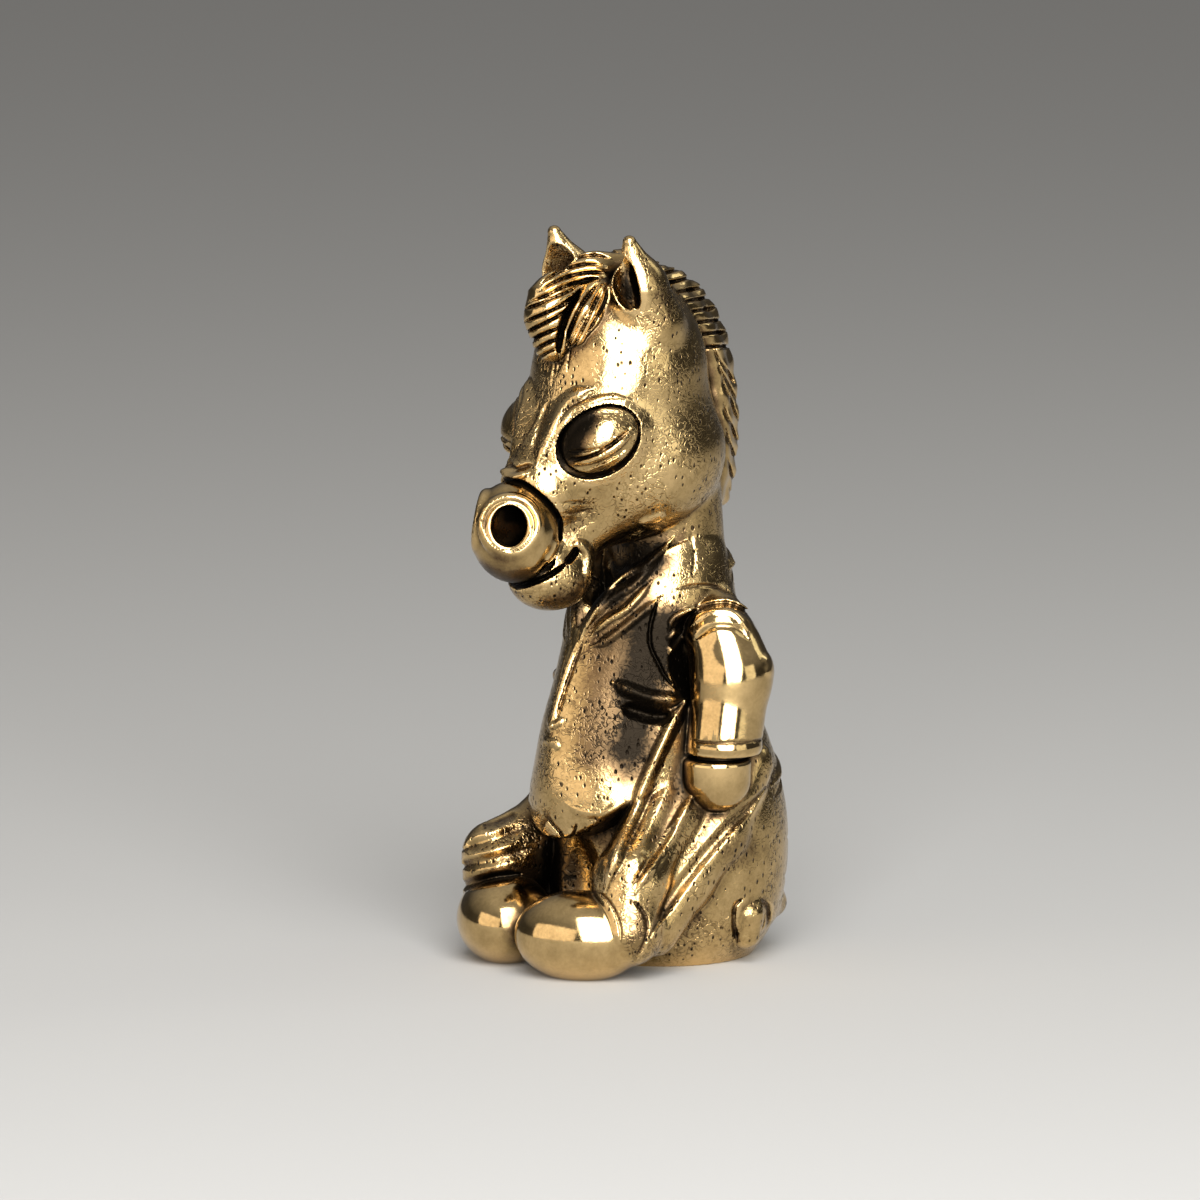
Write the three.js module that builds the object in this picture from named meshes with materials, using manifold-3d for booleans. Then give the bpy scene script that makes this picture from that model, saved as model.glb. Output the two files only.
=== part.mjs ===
// A brass horse figurine, 45 mm tall, cast as one piece: a sleepy foal that sits like a person in a waistcoat
// and trousers, with its forehooves at its hips and its hind hooves drawn together in front.
//
// The figure faces -Y and its left side is +X. Z is up from the surface it sits on. Sizes are in millimetres.
// Each part of the body is a function of a point p that gives the distance from p to that part's skin,
// negative inside it. The parts run into each other like wax, the whole is meshed once, and its underside is
// cut flat. Most parts are made once, on the left: the figure folds p over the middle, so they repeat.

import * as THREE from "three";
import { MarchingCubes } from "three/addons/objects/MarchingCubes.js";
import { mergeVertices } from "three/addons/utils/BufferGeometryUtils.js";
import Module from "manifold-3d";

// Driving dimensions
const HEIGHT = 45; // floor to ear tips
const HALF_WIDTH = 9.4; // middle to the outside of a sleeve
const NOSE_Y = -13.45; // front of the muzzle
const BACK_Y = 8.3; // back of the seat
const CHEST_FRONT = -8.5; // front of the belly
const ARM_X = 6.8; // middle to the axis of an arm
const SLEEVE = 2.25; // radius of a sleeve
const FOREHOOF = 2.08; // radius of a forehoof
const TROUSER = 2.2; // radius of a trouser leg at its end
const MUZZLE = 2.6; // radius of the muzzle, from front to back
const EAR_TIP = 0.5; // radius at the tip of an ear
const MANE_LOCKS = 15;
const FORELOCKS = 5;
const BRASS_COLOUR = 0xb08d4f;
const SOFT_EDGE = 0.5; // width over which a raised stroke rises

// Meshing
const RESOLUTION = 256; // grid steps along each side of the cube that the skin is meshed in
const CELL = 0.25; // size of a grid step
const NUDGE = 0.02; // the least distance that a grid point keeps from the skin
const FAR = 10; // a distance that is surely outside
const MARGIN = 0.7; // free space kept around the figure
const BELOW = 1; // how far the mesh goes below the floor before it is cut off
const FIRST_TRIANGLES = 170000; // room for the first mesh
const TRIANGLES = 9800; // what the thinned mesh keeps
const STEADYING = 1e-3; // how strongly a closed up edge is held to its middle
const LEAST_COSINE = 0.3; // how far thinning may turn a triangle

const { abs, cos, sin, min, max, hypot } = Math;
const { clamp, degToRad, lerp, smoothstep } = THREE.MathUtils;
const at = (x = 0, y = 0, z = 0) => new THREE.Vector3(x, y, z);
const between = (a, b, t) => a.clone().lerp(b, t);

// Joins two distances with a fillet of about the given radius.
const join = (a, b, radius) => min(a, b) - max(radius - abs(a - b), 0) ** 2 / (4 * radius);
// Takes b away from a, with its edges rounded.
const cut = (a, b, radius) => -join(-a, b, radius);
// Joins a list of shapes to a distance.
const joinAll = (d, shapes, p, radius) => shapes.reduce((sum, shape) => join(sum, shape(p), radius), d);

// The direction that faces an azimuth (0 is the front, 90 the figure's left) and an elevation, in degrees.
function facing(azimuth, elevation) {
  const [a, e] = [degToRad(azimuth), degToRad(elevation)];
  return at(sin(a) * cos(e), -cos(a) * cos(e), sin(e));
}

// A place on the body: Z faces outwards, X runs to the right of someone who faces it, rolled anticlockwise.
function place(centre, azimuth = 0, elevation = 0, roll = 0) {
  const z = facing(azimuth, elevation);
  const x = at(0, 0, 1).cross(z).normalize();
  const basis = new THREE.Matrix4().makeBasis(x, z.clone().cross(x), z);
  return basis.multiply(new THREE.Matrix4().makeRotationZ(degToRad(roll))).setPosition(centre);
}

// An egg: an ellipsoid with its three radii along the axes of a place.
function egg(placement, radii) {
  const local = placement.clone().invert();
  const q = at();
  return (p) => {
    q.copy(p).applyMatrix4(local).divide(radii);
    const scaled = q.length();
    return (scaled * (scaled - 1)) / max(q.divide(radii).length(), 1e-6);
  };
}

// An egg whose radii run along X, Y and Z.
function upright(centre, radii) {
  return egg(new THREE.Matrix4().setPosition(centre), radii);
}

// A rounded cone from a to b, with a radius at each end.
function cone(a, b, radiusA, radiusB) {
  const axis = b.clone().sub(a);
  const lengthSquared = axis.lengthSq();
  const q = at();
  return (p) => {
    const t = clamp(q.copy(p).sub(a).dot(axis) / lengthSquared, 0, 1);
    return q.addScaledVector(axis, -t).length() - lerp(radiusA, radiusB, t);
  };
}

// A row of rounded cones through several points, such as a limb, a fold of cloth or a lock of hair.
function roll(points, radii, fillet = 0.6) {
  const bones = points.slice(1).map((b, i) => cone(points[i], b, radii[i], radii[i + 1]));
  return (p) => bones.reduce((d, bone) => join(d, bone(p), fillet), FAR);
}

// A ring of round wire about an axis.
function ring(centre, axis, ringRadius, wireRadius) {
  const n = axis.clone().normalize();
  const q = at();
  return (p) => {
    const height = q.copy(p).sub(centre).dot(n);
    return hypot(q.addScaledVector(n, -height).length() - ringRadius, height) - wireRadius;
  };
}

// A column of oval sections. Each row of its profile is a height, a half width, the Y of its front and back,
// and the section's power: 2 is an ellipse, and less than 2 comes to more of an edge in front.
function column(profile) {
  const heights = profile.map((row) => row[0]);
  const sections = new THREE.CubicInterpolant(heights, profile.flatMap((row) => row.slice(1)), 4);
  return (p) => {
    const [halfWidth, front, back, power] = sections.evaluate(clamp(p.z, heights[0], heights.at(-1)));
    const depth = (back - front) / 2;
    const [x, y] = [abs(p.x) / halfWidth, abs(p.y - front - depth) / depth];
    const scaled = max((x ** power + y ** power) ** (1 / power), 1e-6);
    const slope = hypot((x / scaled) ** (power - 1) / halfWidth, (y / scaled) ** (power - 1) / depth);
    return max((scaled - 1) / slope, heights[0] - p.z, p.z - heights.at(-1));
  };
}

// Raises a skin by a height inside a stroke, or sinks it where the height is negative. Strokes are drawn in
// the front view (X and Z) or the left view (Y and Z), as rolls with no depth.
const flat = at();
const front = (p) => flat.set(p.x, 0, p.z);
const side = (p) => flat.set(0, p.y, p.z);
const inFront = (...xz) => xz.map(([x, z]) => at(x, 0, z));
const atSide = (...yz) => yz.map(([y, z]) => at(0, y, z));

function relief(skin, stroke, q, height) {
  return skin - height * smoothstep(-stroke(q), 0, SOFT_EDGE);
}

// The trunk: the seat, the waist and the shoulders, then the neck. The lap is hollow between the legs.
const seat = column([
  [-1.5, 4.6, -4, 5.2, 2], [0, 5.6, -5, 6.2, 2], [1.2, 6.5, -5.6, 7, 2], [3.3, 7.3, -6, 7.9, 2],
  [6.4, 7.6, -6, BACK_Y, 2], [9.5, 7.4, -5.8, 8.1, 2], [13.8, 6.2, -5.2, 7, 2], [17.5, 4.2, -4.4, 5.4, 2],
  [21, 3.7, -3.6, 4.6, 2], [23.5, 3.4, -2.4, 4.6, 2],
]);
const shoulders = roll([at(0, 1.3, 22.6), at(4.3, 1.1, 20.9)], [3, 2.1]);
const neck = cone(at(0, 1.2, 21), at(0, 0.6, 30), 3.6, 3.5);
const lap = upright(at(0, -8.2, 4.6), at(2.6, 3.6, 4.4));

function trunk(p) {
  const upper = join(shoulders(p), neck(p), 1.6);
  return cut(join(seat(p), upper, 1.2), lap(p), 0.5);
}

// The waistcoat: its hem rises to the sides, its neckline is a V, and an armhole is cut out around each
// sleeve. Rolls of cloth run along the neckline, and a fold with a deep groove under it crosses the waist.
const HEM_HEIGHT = 7.9;
const HEM_RISE = 0.116; // how fast the hem rises with the distance from the middle squared
const NECKLINE = 20.7; // height of the V's point
const NECKLINE_RISE = 1.55;
const RELIEF = 0.3;
const vest = column([
  [6, 4.8, -6.9, 5, 2], [7.7, 5.5, -7.9, 5, 2], [9.9, 5.8, CHEST_FRONT, 5, 1.9], [12.4, 5.7, -8.4, 5, 1.7],
  [14.8, 5.5, -8, 5, 1.6], [17, 5.3, -7.3, 5, 1.55], [19.6, 5.2, -6.4, 5, 1.6], [22, 5, -5.5, 5, 1.8],
  [24, 4.5, -4.1, 4.6, 2], [26, 3.6, -2.9, 4.2, 2], [27.5, 2.6, -1.6, 3.6, 2],
]);
const placket = roll(inFront([0, 6], [0, 21]), [0.75, 0.75]);
const waistFold = roll(atSide([-6.4, 17.6], [-4.4, 16.8], [-1.8, 16.1]), [0.4, 0.7, 0.7]);
const waistGroove = roll(atSide([-5.8, 16.3], [-4.2, 15.6], [-1.8, 15]), [0.3, 0.6, 0.6]);
const armhole = upright(at(7.2, -0.4, 19.2), at(3.3, 3.5, 4.1));
const lapels = [[4.2, 26.6], [4.6, 24.9], [5, 23.2]].map(([x, z]) =>
  roll(inFront([0.3, NECKLINE - 0.9], [x * 0.6, lerp(NECKLINE - 0.9, z, 0.56)], [x, z]), [0.35, 0.5, 0.5]));

function waistcoat(p) {
  let cloth = relief(vest(p), placket, front(p), p.y < 0 ? RELIEF : 0);
  for (const lapel of lapels) cloth = relief(cloth, lapel, front(p), p.y < 0 ? RELIEF : 0);
  cloth = relief(relief(cloth, waistFold, side(p), RELIEF), waistGroove, side(p), -RELIEF);
  const hem = HEM_HEIGHT + HEM_RISE * p.x * p.x - p.z;
  const opening = (NECKLINE + NECKLINE_RISE * p.x - p.z) / hypot(1, NECKLINE_RISE);
  return cut(cut(cut(cloth, -hem, 0.4), max(opening, p.y), 0.4), armhole(p), 0.4);
}

// An arm: the sleeve bends at the elbow, and a forehoof comes out of its cuff, with a gap at the pastern.
const SHOULDER = at(5.8, 0.6, 20.4);
const ELBOW = at(ARM_X, 0.6, 18);
const WRIST = at(ARM_X + 0.3, -0.25, 13.6);
const CUFF_END = 13.35;
const FOREHOOF_TOP = 13.05;
const sleeve = roll([SHOULDER, ELBOW, WRIST], [SLEEVE, SLEEVE + 0.1, SLEEVE], 0.8);
const pastern = cone(at(ARM_X + 0.2, -0.45, 13.8), at(ARM_X + 0.1, -0.4, 12), 1.5, 1.5);
const forehoof = cone(at(ARM_X + 0.2, -0.6, 14), at(ARM_X, -0.55, 9.7 + FOREHOOF), FOREHOOF, FOREHOOF);
const sleeveFold = ring(at(6, 0.7, 20.9), at(-0.1, 0.66, 1), SLEEVE + 0.2, 0.36);

function arm(p) {
  const cuffed = cut(cut(sleeve(p), sleeveFold(p), 0.6), p.z - CUFF_END, 0.1);
  return min(cuffed, pastern(p), cut(forehoof(p), FOREHOOF_TOP - p.z, 0.3));
}

// A leg: the trouser leg slopes from the hip down to the front. On the left a crease runs down it, with a
// fold and a thick roll of cloth outside. On the right the cloth is pushed up in folds over the hoof.
const KNEE = at(5.7, -6.3, 6);
const thigh = roll([at(4.2, 0.6, 13), at(4.5, -2.4, 9.4), KNEE], [2.2, 2.1, TROUSER], 1.5);
const shin = cone(KNEE, at(6.2, -7, 3), TROUSER, TROUSER);
const OUTER_ROLL = [at(5.7, 2.6, 12.2), at(6, 0, 8.2), at(6, -2.6, 5.6), at(6.2, -5.1, 2.9)];
const outerRoll = roll(OUTER_ROLL, [1.7, 2, 1.9, 1.7]);
const hoof = egg(place(at(3.75, -8.7, 2.5), 0, 90, 35), at(4.1, 3, 2.8));
const farKnee = roll([at(-5.1, -6.4, 7), at(-5.4, -8, 6.1), at(-5.6, -8.1, 4.2)], [1.7, 2.1, 2]);
const crease = roll([at(5.6, -1.3, 16.2), at(6, -4.7, 11.3), at(4.8, -7, 5.8)], [0.45, 0.55, 0.6]);
const innerFold = roll([at(6.3, -3.8, 9.2), at(6.3, -5.9, 6.1)], [0.4, 0.4]);
const kneeCreases = [0, 1].map((i) => ring(at(-5.5, -8, 6.5 - 1.5 * i), at(0.15, -0.2, 1), 2.4, 0.42));

function legs(p, m) {
  const cloth = join(join(join(thigh(m), shin(m), 0.8), outerRoll(m), 0.3), farKnee(p), 0.8);
  const pushedUp = kneeCreases.reduce((d, fold) => cut(d, fold(p), 0.7), cloth);
  const creased = join(join(cloth, crease(m), 0.6), innerFold(m), 0.3);
  return join(p.x > 0 ? creased : pushedUp, hoof(m), 0.2);
}

// The tail lies round the foot of the seat to the left and ends in a tuft.
const tail = roll([at(0, 7.2, 3.4), at(3.6, 6.3, 2.9), at(6.1, 3.4, 2.4)], [0.9, 0.85, 0.5]);
const tuft = roll([at(6.4, 2.6, 4.1), at(6.7, 1.95, 3.1), at(6.5, 1.9, 1.9)], [0.65, 0.9, 1]);

// The head: skull, cheeks, the long face, the jaw and the lower lip.
const cranium = upright(at(0, -2.7, 36.1), at(5.3, 5.4, 6.4));
const cheeks = upright(at(0, -1.9, 31.3), at(5.5, 6, 5.3));
const face = cone(at(0, -4.4, 33.4), at(0, -8.5, 29.6), 4.3, 2.7);
const jaw = cone(at(0, -8, 25.4), at(0, -4, 29), 1.7, 2.9);
const lowerLip = upright(at(0, -8.1, 24.1), at(2.4, 2.7, 2.1));
const mouthCorner = cone(at(2.2, -9, 25.6), at(2.6, -7, 27.4), 0.3, 0.3);

// The muzzle is a ball with a nostril on each side: a flat raised ring round a deep hole. A gap parts the
// ball from the face.
const MUZZLE_CENTRE = at(0, NOSE_Y + MUZZLE, 27.05);
const MUZZLE_GAP = 0.35;
const MUZZLE_GAP_DEPTH = 0.7;
const NOSTRIL = place(MUZZLE_CENTRE.clone().add(at(0, 0, 0.35)), 45, 8);
const NOSTRIL_HOLE = at(1.08, 1.24, 0); // half width and half height
const NOSTRIL_RING = 2.03; // outer radius
const NOSTRIL_TOP = 2.35; // how far the ring's face lies from the middle of the muzzle
const NOSTRIL_DEPTH = 2;
const NOSTRIL_WALL = 0.25; // half the wall between the two holes
const muzzle = upright(MUZZLE_CENTRE, at(MUZZLE + 0.2, MUZZLE, MUZZLE + 0.5));
const fromNostril = NOSTRIL.clone().invert();
const spot = at();

function snout(p) {
  spot.copy(p).applyMatrix4(fromNostril);
  const across = hypot(spot.x, spot.y);
  const out = spot.z;
  const rim = cut(across - NOSTRIL_RING, 0.8 - abs(out - NOSTRIL_TOP + 0.8), 0.4);
  const ball = cut(muzzle(p), max(across - NOSTRIL_RING, NOSTRIL_TOP - out), 0.05);
  const hole = (hypot(spot.x / NOSTRIL_HOLE.x, spot.y / NOSTRIL_HOLE.y) - 1) * NOSTRIL_HOLE.x;
  return cut(join(ball, rim, 0.12), max(hole, NOSTRIL_TOP - NOSTRIL_DEPTH - out, NOSTRIL_WALL - p.x), 0.15);
}

// An eye: a closed lid bulges inside a groove, under a brow.
const EYE = place(at(2.95, -6.6, 32.75), 50, -4, 33);
const GROOVE_HALF_WIDTH = 0.25;
const GROOVE_DEPTH = 0.45;
const eyeMound = egg(EYE, at(2.9, 2.5, 1.9));
const eyeGroove = egg(EYE, at(2.66, 2.02, 4));
const lid = egg(EYE, at(2.4, 1.76, 2.4));
const brow = roll([at(1.9, -9, 31.8), at(2.5, -8.5, 34.4), at(3.8, -7.1, 35.4)], [0.3, 0.45, 0.4]);

function eyed(skull, p) {
  const mounded = join(join(skull, eyeMound(p), 0.8), brow(p), 0.9);
  const groove = max(abs(eyeGroove(p)) - GROOVE_HALF_WIDTH, -GROOVE_DEPTH - mounded);
  return join(cut(mounded, groove, 0.25), lid(p), 0.1);
}

function head(p) {
  const skull = join(join(cranium(p), cheeks(p), 1.5), join(face(p), jaw(p), 0.8), 1.5);
  const chin = join(cut(eyed(skull, p), mouthCorner(p), 0.3), lowerLip(p), 0.9);
  const gap = max(muzzle(p) - MUZZLE_GAP, -MUZZLE_GAP_DEPTH - chin);
  return join(cut(chin, gap, 0.25), snout(p), 0.05);
}

// An ear: a rounded cone that leans forwards, dished in front.
const EAR_SPINE = [at(3.45, -2.9, 39.6), at(3.5, -4, 42), at(3.7, -4.9, HEIGHT - EAR_TIP)];
const earFlesh = roll(EAR_SPINE, [1.9, 1.55, EAR_TIP], 0.5);
const earDish = egg(place(at(3.75, -5.1, 42), 40, 8, 14), at(0.75, 1.7, 1.3));
const ear = (p) => cut(earFlesh(p), earDish(p), 0.2);

// The mane: a crest down the back of the head, with locks that rise to its edge from both sides.
const CREST = new THREE.CatmullRomCurve3([at(0, -3.4, 42), at(0, -0.6, 42.1), at(0, 2.4, 40.9),
  at(0, 4.5, 38.2), at(0, 5.45, 34.4), at(0, 5.55, 31), at(0, 5.1, 28)]);
const CREST_STEPS = 10;
const inwardsOf = (along) => at(0, along.z, -along.y);
const crestAt = (inset) => Array.from({ length: CREST_STEPS + 1 }, (_, i) =>
  CREST.getPointAt(i / CREST_STEPS).addScaledVector(inwardsOf(CREST.getTangentAt(i / CREST_STEPS)), inset));
const crestEdge = roll(crestAt(0.3), Array(CREST_STEPS + 1).fill(0.8));
const crestFoot = roll(crestAt(1.8), Array(CREST_STEPS + 1).fill(1.3));
const maneLocks = Array.from({ length: MANE_LOCKS }, (_, i) => {
  const t = (i + 0.5) / MANE_LOCKS;
  const top = CREST.getPointAt(t);
  const along = CREST.getTangentAt(t);
  const inwards = inwardsOf(along);
  const reach = lerp(2.3, 1.3, t);
  const sweep = lerp(0.5, 1.1, t);
  const flank = top.clone().addScaledVector(inwards, 0.4 * reach).addScaledVector(along, -0.4 * sweep);
  const foot = top.clone().addScaledVector(inwards, 1.2 * reach).addScaledVector(along, -sweep);
  const spine = [top.addScaledVector(inwards, -0.6), flank.setX(0.5 * reach), foot.setX(0.8 * reach)];
  return roll(spine, [0.58, 0.62, 0.55], 0.3);
});
const mane = (p) => joinAll(join(crestEdge(p), crestFoot(p), 0.5), maneLocks, p, 0.06);

// The forelock falls over the brow and is swept to the figure's right, in locks side by side. Two loose
// locks hang on its left.
const forelockPad = upright(at(-0.1, -5.9, 40), at(1.9, 2.5, 2.8));
const FORELOCK_ROOT = at(0.4, -3.6, 42.7);
const sweptLocks = Array.from({ length: FORELOCKS }, (_, i) => {
  const t = i / (FORELOCKS - 1);
  const top = between(at(-0.4, -5.9, 42.5), at(1.2, -6.7, 41), t);
  const middle = between(at(-0.7, -7.6, 41.7), at(0.9, -8.1, 39.6), t);
  const tip = between(at(-0.9, -9, 40.7), at(0.6, -8.8, 37.4), t);
  return roll([FORELOCK_ROOT, top, middle, tip], [0.5, 0.5, 0.52, 0.42], 0.3);
});
const looseLocks = [
  roll([at(0.9, -5.2, 41.7), at(1.8, -6.95, 40), at(2.15, -8, 37.8)], [0.5, 0.75, 0.35], 0.3),
  roll([at(2.2, -5, 41.2), at(2.9, -6.8, 39.3)], [0.45, 0.3], 0.3),
];
const forelock = (p) => joinAll(forelockPad(p), [...sweptLocks, ...looseLocks], p, 0.06);

// The whole figure. m is p folded over the middle, and the right arm sits a little further back.
const RIGHT_ARM_BACK = 0.9;
const m = at();
const shifted = at();

function figure(p) {
  m.set(abs(p.x), p.y, p.z);
  shifted.copy(m).setY(p.x < 0 ? p.y - RIGHT_ARM_BACK : p.y);
  const clothed = join(trunk(m), waistcoat(m), 0.2);
  const limbed = join(join(clothed, legs(p, m), 0.2), arm(shifted), 0.15);
  const headed = join(limbed, join(head(m), ear(m), 0.5), 0.3);
  const haired = join(join(headed, mane(m), 0.15), forelock(p), 0.15);
  return join(join(haired, tail(p), 0.4), tuft(p), 0.15);
}

// Meshes the skin of a distance function inside a box.
const MIDDLE_Y = (NOSE_Y + BACK_Y) / 2;
const GRID_CENTRE = at(0, MIDDLE_Y, (HEIGHT - BELOW) / 2);
const brass = new THREE.MeshStandardMaterial({ color: BRASS_COLOUR, metalness: 1, roughness: 0.3 });

function skinMesh(distance, box) {
  const clay = new MarchingCubes(RESOLUTION, brass, false, false, FIRST_TRIANGLES);
  const [first, last] = [box.min, box.max].map((corner) =>
    corner.clone().sub(GRID_CENTRE).divideScalar(CELL).addScalar(RESOLUTION / 2).round());
  const p = at();
  clay.isolation = 0;
  clay.field.fill(-FAR);
  for (let k = first.z; k <= last.z; k++)
    for (let j = first.y; j <= last.y; j++)
      for (let i = first.x; i <= last.x; i++) {
        p.set(i, j, k).subScalar(RESOLUTION / 2).multiplyScalar(CELL).add(GRID_CENTRE);
        const d = distance(p);
        clay.setCell(i, j, k, abs(d) < NUDGE ? -NUDGE : -d);
      }
  clay.update();
  const corners = new THREE.BufferAttribute(clay.positionArray.slice(0, clay.count * 3), 3);
  const halfCube = (RESOLUTION / 2) * CELL;
  const merged = mergeVertices(new THREE.BufferGeometry().setAttribute("position", corners), 1e-6);
  return merged.scale(halfCube, halfCube, halfCube).translate(...GRID_CENTRE);
}

const normalOf = (a, b, c) => b.clone().sub(a).cross(c.clone().sub(a));

// The plane of a triangle as a matrix Q: (p, 1) Q (p, 1) is the squared distance of p from it times its area.
function planeOf(a, b, c) {
  const normal = normalOf(a, b, c);
  const area = normal.length() / 2;
  normal.normalize();
  const plane = [normal.x, normal.y, normal.z, -normal.dot(a)];
  return new THREE.Matrix4().set(...plane.flatMap((i) => plane.map((j) => area * i * j)));
}

// Adds matrix b to matrix a.
function accumulate(a, b) {
  for (let i = 0; i < 16; i++) a.elements[i] += b.elements[i];
  return a;
}

// The point that an edge closes up to, and what that costs: the point is the nearest to the planes around the
// edge's two ends, held a little to its middle.
function closeUp(a, b, planes) {
  const solve = new THREE.Matrix3().setFromMatrix4(planes);
  const hold = STEADYING * (solve.elements[0] + solve.elements[4] + solve.elements[8]);
  for (const diagonal of [0, 4, 8]) solve.elements[diagonal] += hold;
  const offset = at().setFromMatrixPosition(planes);
  const point = between(a, b, 0.5).multiplyScalar(hold).sub(offset).applyMatrix3(solve.invert());
  const v = new THREE.Vector4(point.x, point.y, point.z, 1);
  return { point, cost: v.dot(v.clone().applyMatrix4(planes)) + hold * a.distanceToSquared(b) };
}

// A heap with the entry of the least cost on top.
class Heap {
  entries = [];

  push(entry) {
    let i = this.entries.push(entry) - 1;
    while (i > 0 && this.swapIfCheaper(i, (i - 1) >> 1)) i = (i - 1) >> 1;
  }

  pop() {
    const top = this.entries[0];
    const last = this.entries.pop();
    if (last === top) return top;
    this.entries[0] = last;
    for (let i = 0, child = 1; child < this.entries.length; child = 2 * i + 1) {
      if (this.entries[child + 1]?.cost < this.entries[child].cost) child++;
      if (!this.swapIfCheaper(child, i)) break;
      i = child;
    }
    return top;
  }

  // Swaps entry i with its parent if i costs less.
  swapIfCheaper(i, parent) {
    const { entries } = this;
    if (entries[i].cost >= entries[parent].cost) return false;
    [entries[i], entries[parent]] = [entries[parent], entries[i]];
    return true;
  }
}

// Thins a closed mesh: the edge whose loss changes the shape the least closes up to one point, again and
// again, where the mesh stays closed and no triangle turns over. fans holds the triangles around each point.
function thin(geometry, triangleCount) {
  const { position } = geometry.attributes;
  const points = Array.from({ length: position.count }, (_, i) => at().fromBufferAttribute(position, i));
  const planes = points.map(() => new THREE.Matrix4().multiplyScalar(0));
  const fans = points.map(() => new Set());
  const changes = points.map(() => 0);
  const heap = new Heap();
  const neighboursOf = (a) => new Set([...fans[a]].flat().filter((i) => i !== a));
  const offer = (a, b) => {
    const seen = changes[a] + changes[b];
    heap.push({ a, b, seen, ...closeUp(points[a], points[b], accumulate(planes[a].clone(), planes[b])) });
  };

  let left = geometry.index.count / 3;
  for (let i = 0; i < left; i++) {
    const corners = Array.from(geometry.index.array.subarray(3 * i, 3 * i + 3));
    const plane = planeOf(...corners.map((corner) => points[corner]));
    for (const corner of corners) {
      accumulate(planes[corner], plane);
      fans[corner].add(corners);
    }
  }
  points.forEach((_, a) => {
    for (const b of neighboursOf(a)) if (a < b) offer(a, b);
  });

  while (left > triangleCount) {
    const { a, b, point, seen } = heap.pop();
    if (seen !== changes[a] + changes[b]) continue;
    const others = neighboursOf(b);
    if ([...neighboursOf(a)].filter((i) => others.has(i)).length !== 2) continue;
    if (turnsOver(fans[a], a, b, point, points) || turnsOver(fans[b], b, a, point, points)) continue;
    points[a] = point;
    accumulate(planes[a], planes[b]);
    for (const corners of fans[b])
      if (corners.includes(a)) {
        for (const corner of corners) if (corner !== b) fans[corner].delete(corners);
      } else {
        corners[corners.indexOf(b)] = a;
        fans[a].add(corners);
      }
    fans[b].clear();
    changes[a]++;
    changes[b]++;
    for (const c of neighboursOf(a)) offer(a, c);
    left -= 2;
  }

  const triangles = new Set(fans.flatMap((fan) => [...fan]));
  const corners = [...triangles].flat().flatMap((i) => points[i].toArray());
  const kept = new THREE.BufferGeometry();
  return mergeVertices(kept.setAttribute("position", new THREE.Float32BufferAttribute(corners, 3)));
}

// Whether moving corner a to a point turns any triangle of its fan too far, other than those that close up
// with b.
function turnsOver(fan, a, b, point, points) {
  for (const corners of fan) {
    if (corners.includes(b)) continue;
    const before = normalOf(...corners.map((i) => points[i]));
    const after = normalOf(...corners.map((i) => (i === a ? point : points[i])));
    if (before.dot(after) < LEAST_COSINE * before.length() * after.length()) return true;
  }
  return false;
}

// A closed geometry as a solid that can be cut, and back again.
const wasm = await Module();
wasm.setup();

function solidOf(geometry) {
  const bare = geometry.clone().deleteAttribute("normal").deleteAttribute("uv");
  const merged = mergeVertices(bare, 1e-5);
  return new wasm.Manifold(new wasm.Mesh({
    numProp: 3,
    vertProperties: new Float32Array(merged.attributes.position.array),
    triVerts: new Uint32Array(merged.index.array),
  }));
}

function geometryOf(solid) {
  const { vertProperties, triVerts } = solid.getMesh();
  return new THREE.BufferGeometry()
    .setAttribute("position", new THREE.Float32BufferAttribute(vertProperties, 3))
    .setIndex(new THREE.BufferAttribute(triVerts, 1));
}

// The casting: the skin is meshed to a little below the floor, thinned, and cut off at the floor.
const skinBox = new THREE.Box3(
  at(-HALF_WIDTH - MARGIN, NOSE_Y - MARGIN, -BELOW),
  at(HALF_WIDTH + MARGIN, BACK_Y + MARGIN, HEIGHT + MARGIN),
);
const skin = skinMesh(figure, skinBox);
const thinned = thin(skin, TRIANGLES);
const underground = new THREE.BoxGeometry(HEIGHT, HEIGHT, 2 * BELOW).translate(0, 0, -BELOW);
const casting = geometryOf(solidOf(thinned).subtract(solidOf(underground)));
casting.computeBoundingBox();
const middle = casting.boundingBox.getCenter(at());
casting.translate(-middle.x, -middle.y, 0).computeVertexNormals();

const figurine = new THREE.Mesh(casting, brass);
figurine.name = "horse_figurine";

const group = new THREE.Group();
group.add(figurine);

export default group;
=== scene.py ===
import math

import bpy
import numpy as np
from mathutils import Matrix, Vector


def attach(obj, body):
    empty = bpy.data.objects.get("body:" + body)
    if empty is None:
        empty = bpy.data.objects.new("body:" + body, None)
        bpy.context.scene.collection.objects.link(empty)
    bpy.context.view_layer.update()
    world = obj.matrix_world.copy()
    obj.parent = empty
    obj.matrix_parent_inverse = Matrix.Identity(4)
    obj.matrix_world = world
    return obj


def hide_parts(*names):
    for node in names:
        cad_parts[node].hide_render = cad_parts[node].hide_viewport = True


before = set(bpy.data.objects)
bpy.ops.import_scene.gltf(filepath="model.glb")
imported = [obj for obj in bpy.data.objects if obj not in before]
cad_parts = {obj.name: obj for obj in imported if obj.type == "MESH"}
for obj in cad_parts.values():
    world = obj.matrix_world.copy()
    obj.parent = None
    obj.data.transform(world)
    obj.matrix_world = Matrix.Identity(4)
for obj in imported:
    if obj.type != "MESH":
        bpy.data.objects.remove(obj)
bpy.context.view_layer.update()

# The camera stands well back, off the figurine's left shoulder and a little above it, so that the small
# figure is seen almost without perspective. Angles are in degrees, distances in metres.
VIEW_AZIMUTH = 52
VIEW_ELEVATION = 8.5
VIEW_CENTRE = Vector((0, -0.001555, 0.02227))
VIEW_DISTANCE = 0.52
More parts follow.
